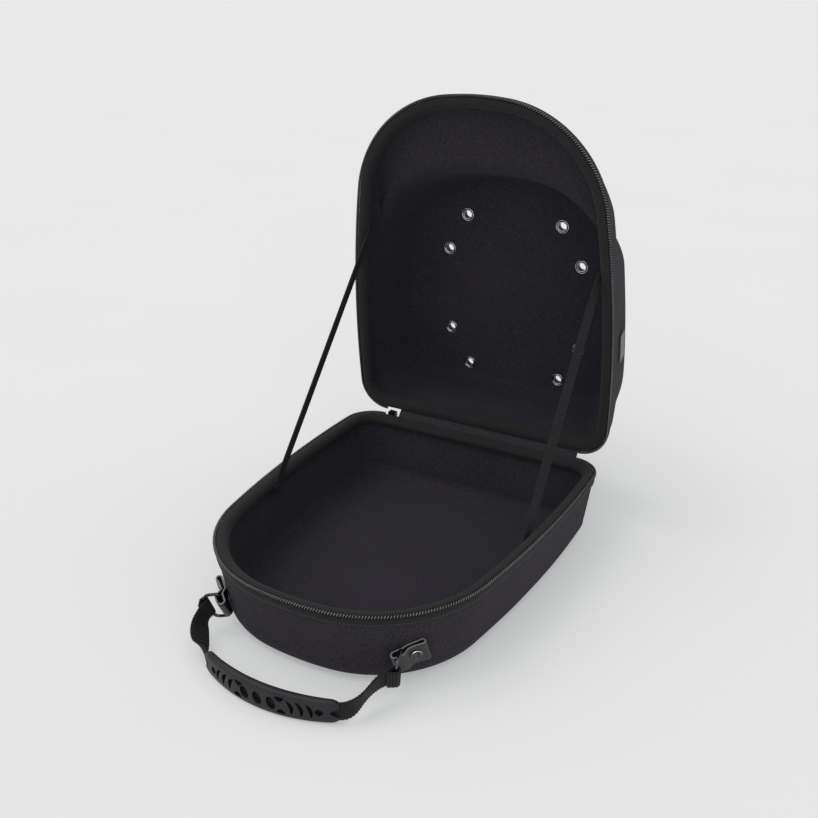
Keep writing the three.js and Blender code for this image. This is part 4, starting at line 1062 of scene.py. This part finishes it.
def strap():
    middle = [(grip_point(along, 0, 0), vec(0, 0, 1))
              for along in np.linspace(-GRIP_LENGTH / 2, GRIP_LENGTH / 2, STRAP_ROWS["grip"])]
    left, right = TABS
    rows = strap_end(left)[::-1] + middle + strap_end(right)
    fine = curve_through([np.concatenate(row) for row in rows], steps=12)
    fine = evenly(fine, STRAP_RIB["pitch"] / 6)
    rings = band_rings(fine[:, :3], unit(fine[:, 3:]), STRAP_WIDTH, STRAP_THICK, STRAP_RIB)
    put(lofted("strap", rings, [WEBBING], sharp=60), "webbing", "handle_strap")


GRIP_CUTS = (
    # shape, along and up as shares of half the grip, half length and half width as the same
    # shares, turn in degrees
    *[("oval", along, 0, 0.5, 0.062, 16) for along in (-0.2, -0.01, 0.18)],
    *[("wedge", side * 0.29, 0.47, 0.2, 0.062, 0) for side in (-1, 1)],
    *[("wedge", side * 0.31, -0.47, 0.2, 0.062, 180) for side in (-1, 1)],
    *[("crescent", side * 0.4, 0, 0.6, 0.07, side * 20) for side in (-1, 1)],
    *[("crescent", side * 0.52, 0, 0.64, 0.07, side * 20) for side in (-1, 1)],
    *[("crescent", side * 0.64, 0, 0.6, 0.06, side * 20) for side in (-1, 1)],
    *[("drop", side * 0.77, 0, 0.3, 0.042, 0) for side in (-1, 1)],
    *[("mouth", side * 0.99, 0, 0.62, 0.09, side * -90) for side in (-1, 1)],
)


def cut_outline(shape, w, h):
    """A cut-out's outline, half its width w and half its height h"""
    t = np.linspace(0, 1, CUT_STEPS["bow"])[:, None]
    low, high = vec(0, -h), vec(0, h)
    if shape == "oval":
        turn = circle(CUT_STEPS["oval"])
        return np.stack([w * np.cos(turn), h * np.sin(turn)], -1)
    if shape == "wedge":
        corners = [vec(-w, h * 0.7), vec(0, h), vec(w, h * 0.7), vec(0, -h)]
        return curve_through(corners, CUT_STEPS["wedge"], closed=True)
    if shape == "mouth":
        return np.array([vec(-h, w), vec(h, w), vec(0.15 * h, -w), vec(-0.15 * h, -w)])
    bulge, hollow = (2, 0.3) if shape == "crescent" else (2.4, -2.4)

    def bow(a, b, x):
        return a * (1 - t) ** 2 + 2 * vec(x, 0) * t * (1 - t) + b * t * t

    return np.concatenate([bow(low, high, bulge * w)[:-1], bow(high, low, hollow * w)[:-1]])


def grip():
    share = np.linspace(-1, 1, GRIP_STEPS)
    turn = circle(GRIP_SIDES)
    rings = []
    for s in share:
        high = lerp(GRIP_HEIGHT, GRIP_END_HEIGHT, s * s) / 2
        deep = lerp(GRIP_THICK, GRIP_END_THICK, s * s) / 2
        high *= math.sqrt(1 - 0.5 * max(0, (abs(s) - GRIP_ROUND) / (1 - GRIP_ROUND)) ** 2)
        rings.append([grip_point(s * GRIP_LENGTH / 2, deep * squared(math.cos(t), GRIP_SQUARE["out"]),
                                 high * squared(math.sin(t), GRIP_SQUARE["up"])) for t in turn])
    piece = lofted("grip", rings, [RUBBER], sharp=50)
    wide, thick = STRAP_WIDTH / 2 + CLEAR, STRAP_THICK / 2 + CLEAR
    slot = [[grip_point(s * (GRIP_LENGTH / 2 + SLOT_SPARE), out, up)
             for out, up in ((thick, -wide), (-thick, -wide), (-thick, wide), (thick, wide))] for s in share]
    cut(piece, lofted("slot_cutter", slot, [RUBBER]))
    cuts = []
    for shape, along, up, long, narrow, degrees in GRIP_CUTS:
        flat = cut_outline(shape, narrow * GRIP_LENGTH / 2, long * GRIP_HEIGHT / 2)
        if shape == "crescent" and along < 0:
            flat = -flat
        spin = math.radians(degrees)
        x = flat[:, 0] * math.cos(spin) - flat[:, 1] * math.sin(spin)
        z = flat[:, 0] * math.sin(spin) + flat[:, 1] * math.cos(spin)
        if (x * np.roll(z, -1) - z * np.roll(x, -1)).sum() < 0:
            x, z = x[::-1], z[::-1]
        cuts.append([[grip_point(along * GRIP_LENGTH / 2 + a, out, up * GRIP_HEIGHT / 2 + b)
                      for a, b in zip(x, z)] for out in (0, GRIP_THICK)])
    # The cutter's dark finish is painted shade for the cut-outs' walls
    cut(piece, new_piece("grip_cutter", *solids(cuts), [RECESS_SHADE]))
    put(piece, "grip_rubber", "handle_grip")


# Nodes that keep their own solids

def kept():
    for name, finish, edge in (
        ("hinge_strip", CLOTH, 0.5), ("side_patch", PATCH, 0.4), ("stay_foot_left", WEBBING, 0.3),
        ("stay_foot_right", WEBBING, 0.3), ("zip_slider", DARK_METAL, 0.6), ("zip_pull", DARK_METAL, 0.4),
    ):
        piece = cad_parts[name]
        piece.data.materials.clear()
        piece.data.materials.append(finish)
        bevel = piece.modifiers.new("edge", "BEVEL")
        bevel.width = edge * MM
        bevel.segments = 3
        bevel.limit_method = "ANGLE"


# Floor, light and camera

def stage():
    bpy.ops.mesh.primitive_plane_add(size=FLOOR_SIZE)
    floor = bpy.context.object
    floor.name = "floor"
    material, tree, where = started("floor", 0.85, Specular_IOR_Level=0.1, **FLOOR_GLOW)
    tone = blended(tree, speckled(tree, where, scale=3, detail=2), grey(185, 184, 182), grey(187, 186, 184))
    tree.links.new(tone, tree.nodes["Principled BSDF"].inputs["Base Color"])
    floor.data.materials.append(material)
    world = bpy.data.worlds.new("studio")
    bpy.context.scene.world = world
    world.use_nodes = True
    for key, value in SKY.items():
        world.node_tree.nodes["Background"].inputs[key].default_value = value
    for name, azimuth, elevation, strength, width in SUNS:
        light = bpy.data.lights.new(name, "SUN")
        light.energy = strength
        light.angle = math.radians(width)
        lamp = bpy.data.objects.new(name, light)
        lamp.rotation_euler = aimed(azimuth, elevation).to_track_quat("Z", "Y").to_euler()
        bpy.context.scene.collection.objects.link(lamp)
    bpy.context.scene.view_settings.view_transform = "Standard"


def camera():
    data = bpy.data.cameras.new("camera")
    data.lens = VIEW["lens"]
    data.sensor_width = SENSOR
    data.clip_end = FAR_AWAY
    eye = bpy.data.objects.new("camera", data)
    back = aimed(VIEW["azimuth"], VIEW["elevation"])
    azimuth = math.radians(VIEW["azimuth"])
    right = Vector((math.cos(azimuth), math.sin(azimuth), 0))
    basis = Matrix((right, back.cross(right), back)).transposed()
    basis = (basis @ Matrix.Rotation(math.radians(VIEW["roll"]), 3, "Z")).to_4x4()
    eye.matrix_world = Matrix.Translation((Vector(VIEW_TARGET) + back * VIEW["distance"]) * MM) @ basis
    bpy.context.scene.collection.objects.link(eye)
    bpy.context.scene.camera = eye


camera()
tray()
lid()
rims()
eyelets()
stays()
for tab in TABS:
    tab_piece(tab)
    rivet(tab)
    ring(tab)
strap()
grip()
kept()
stage()
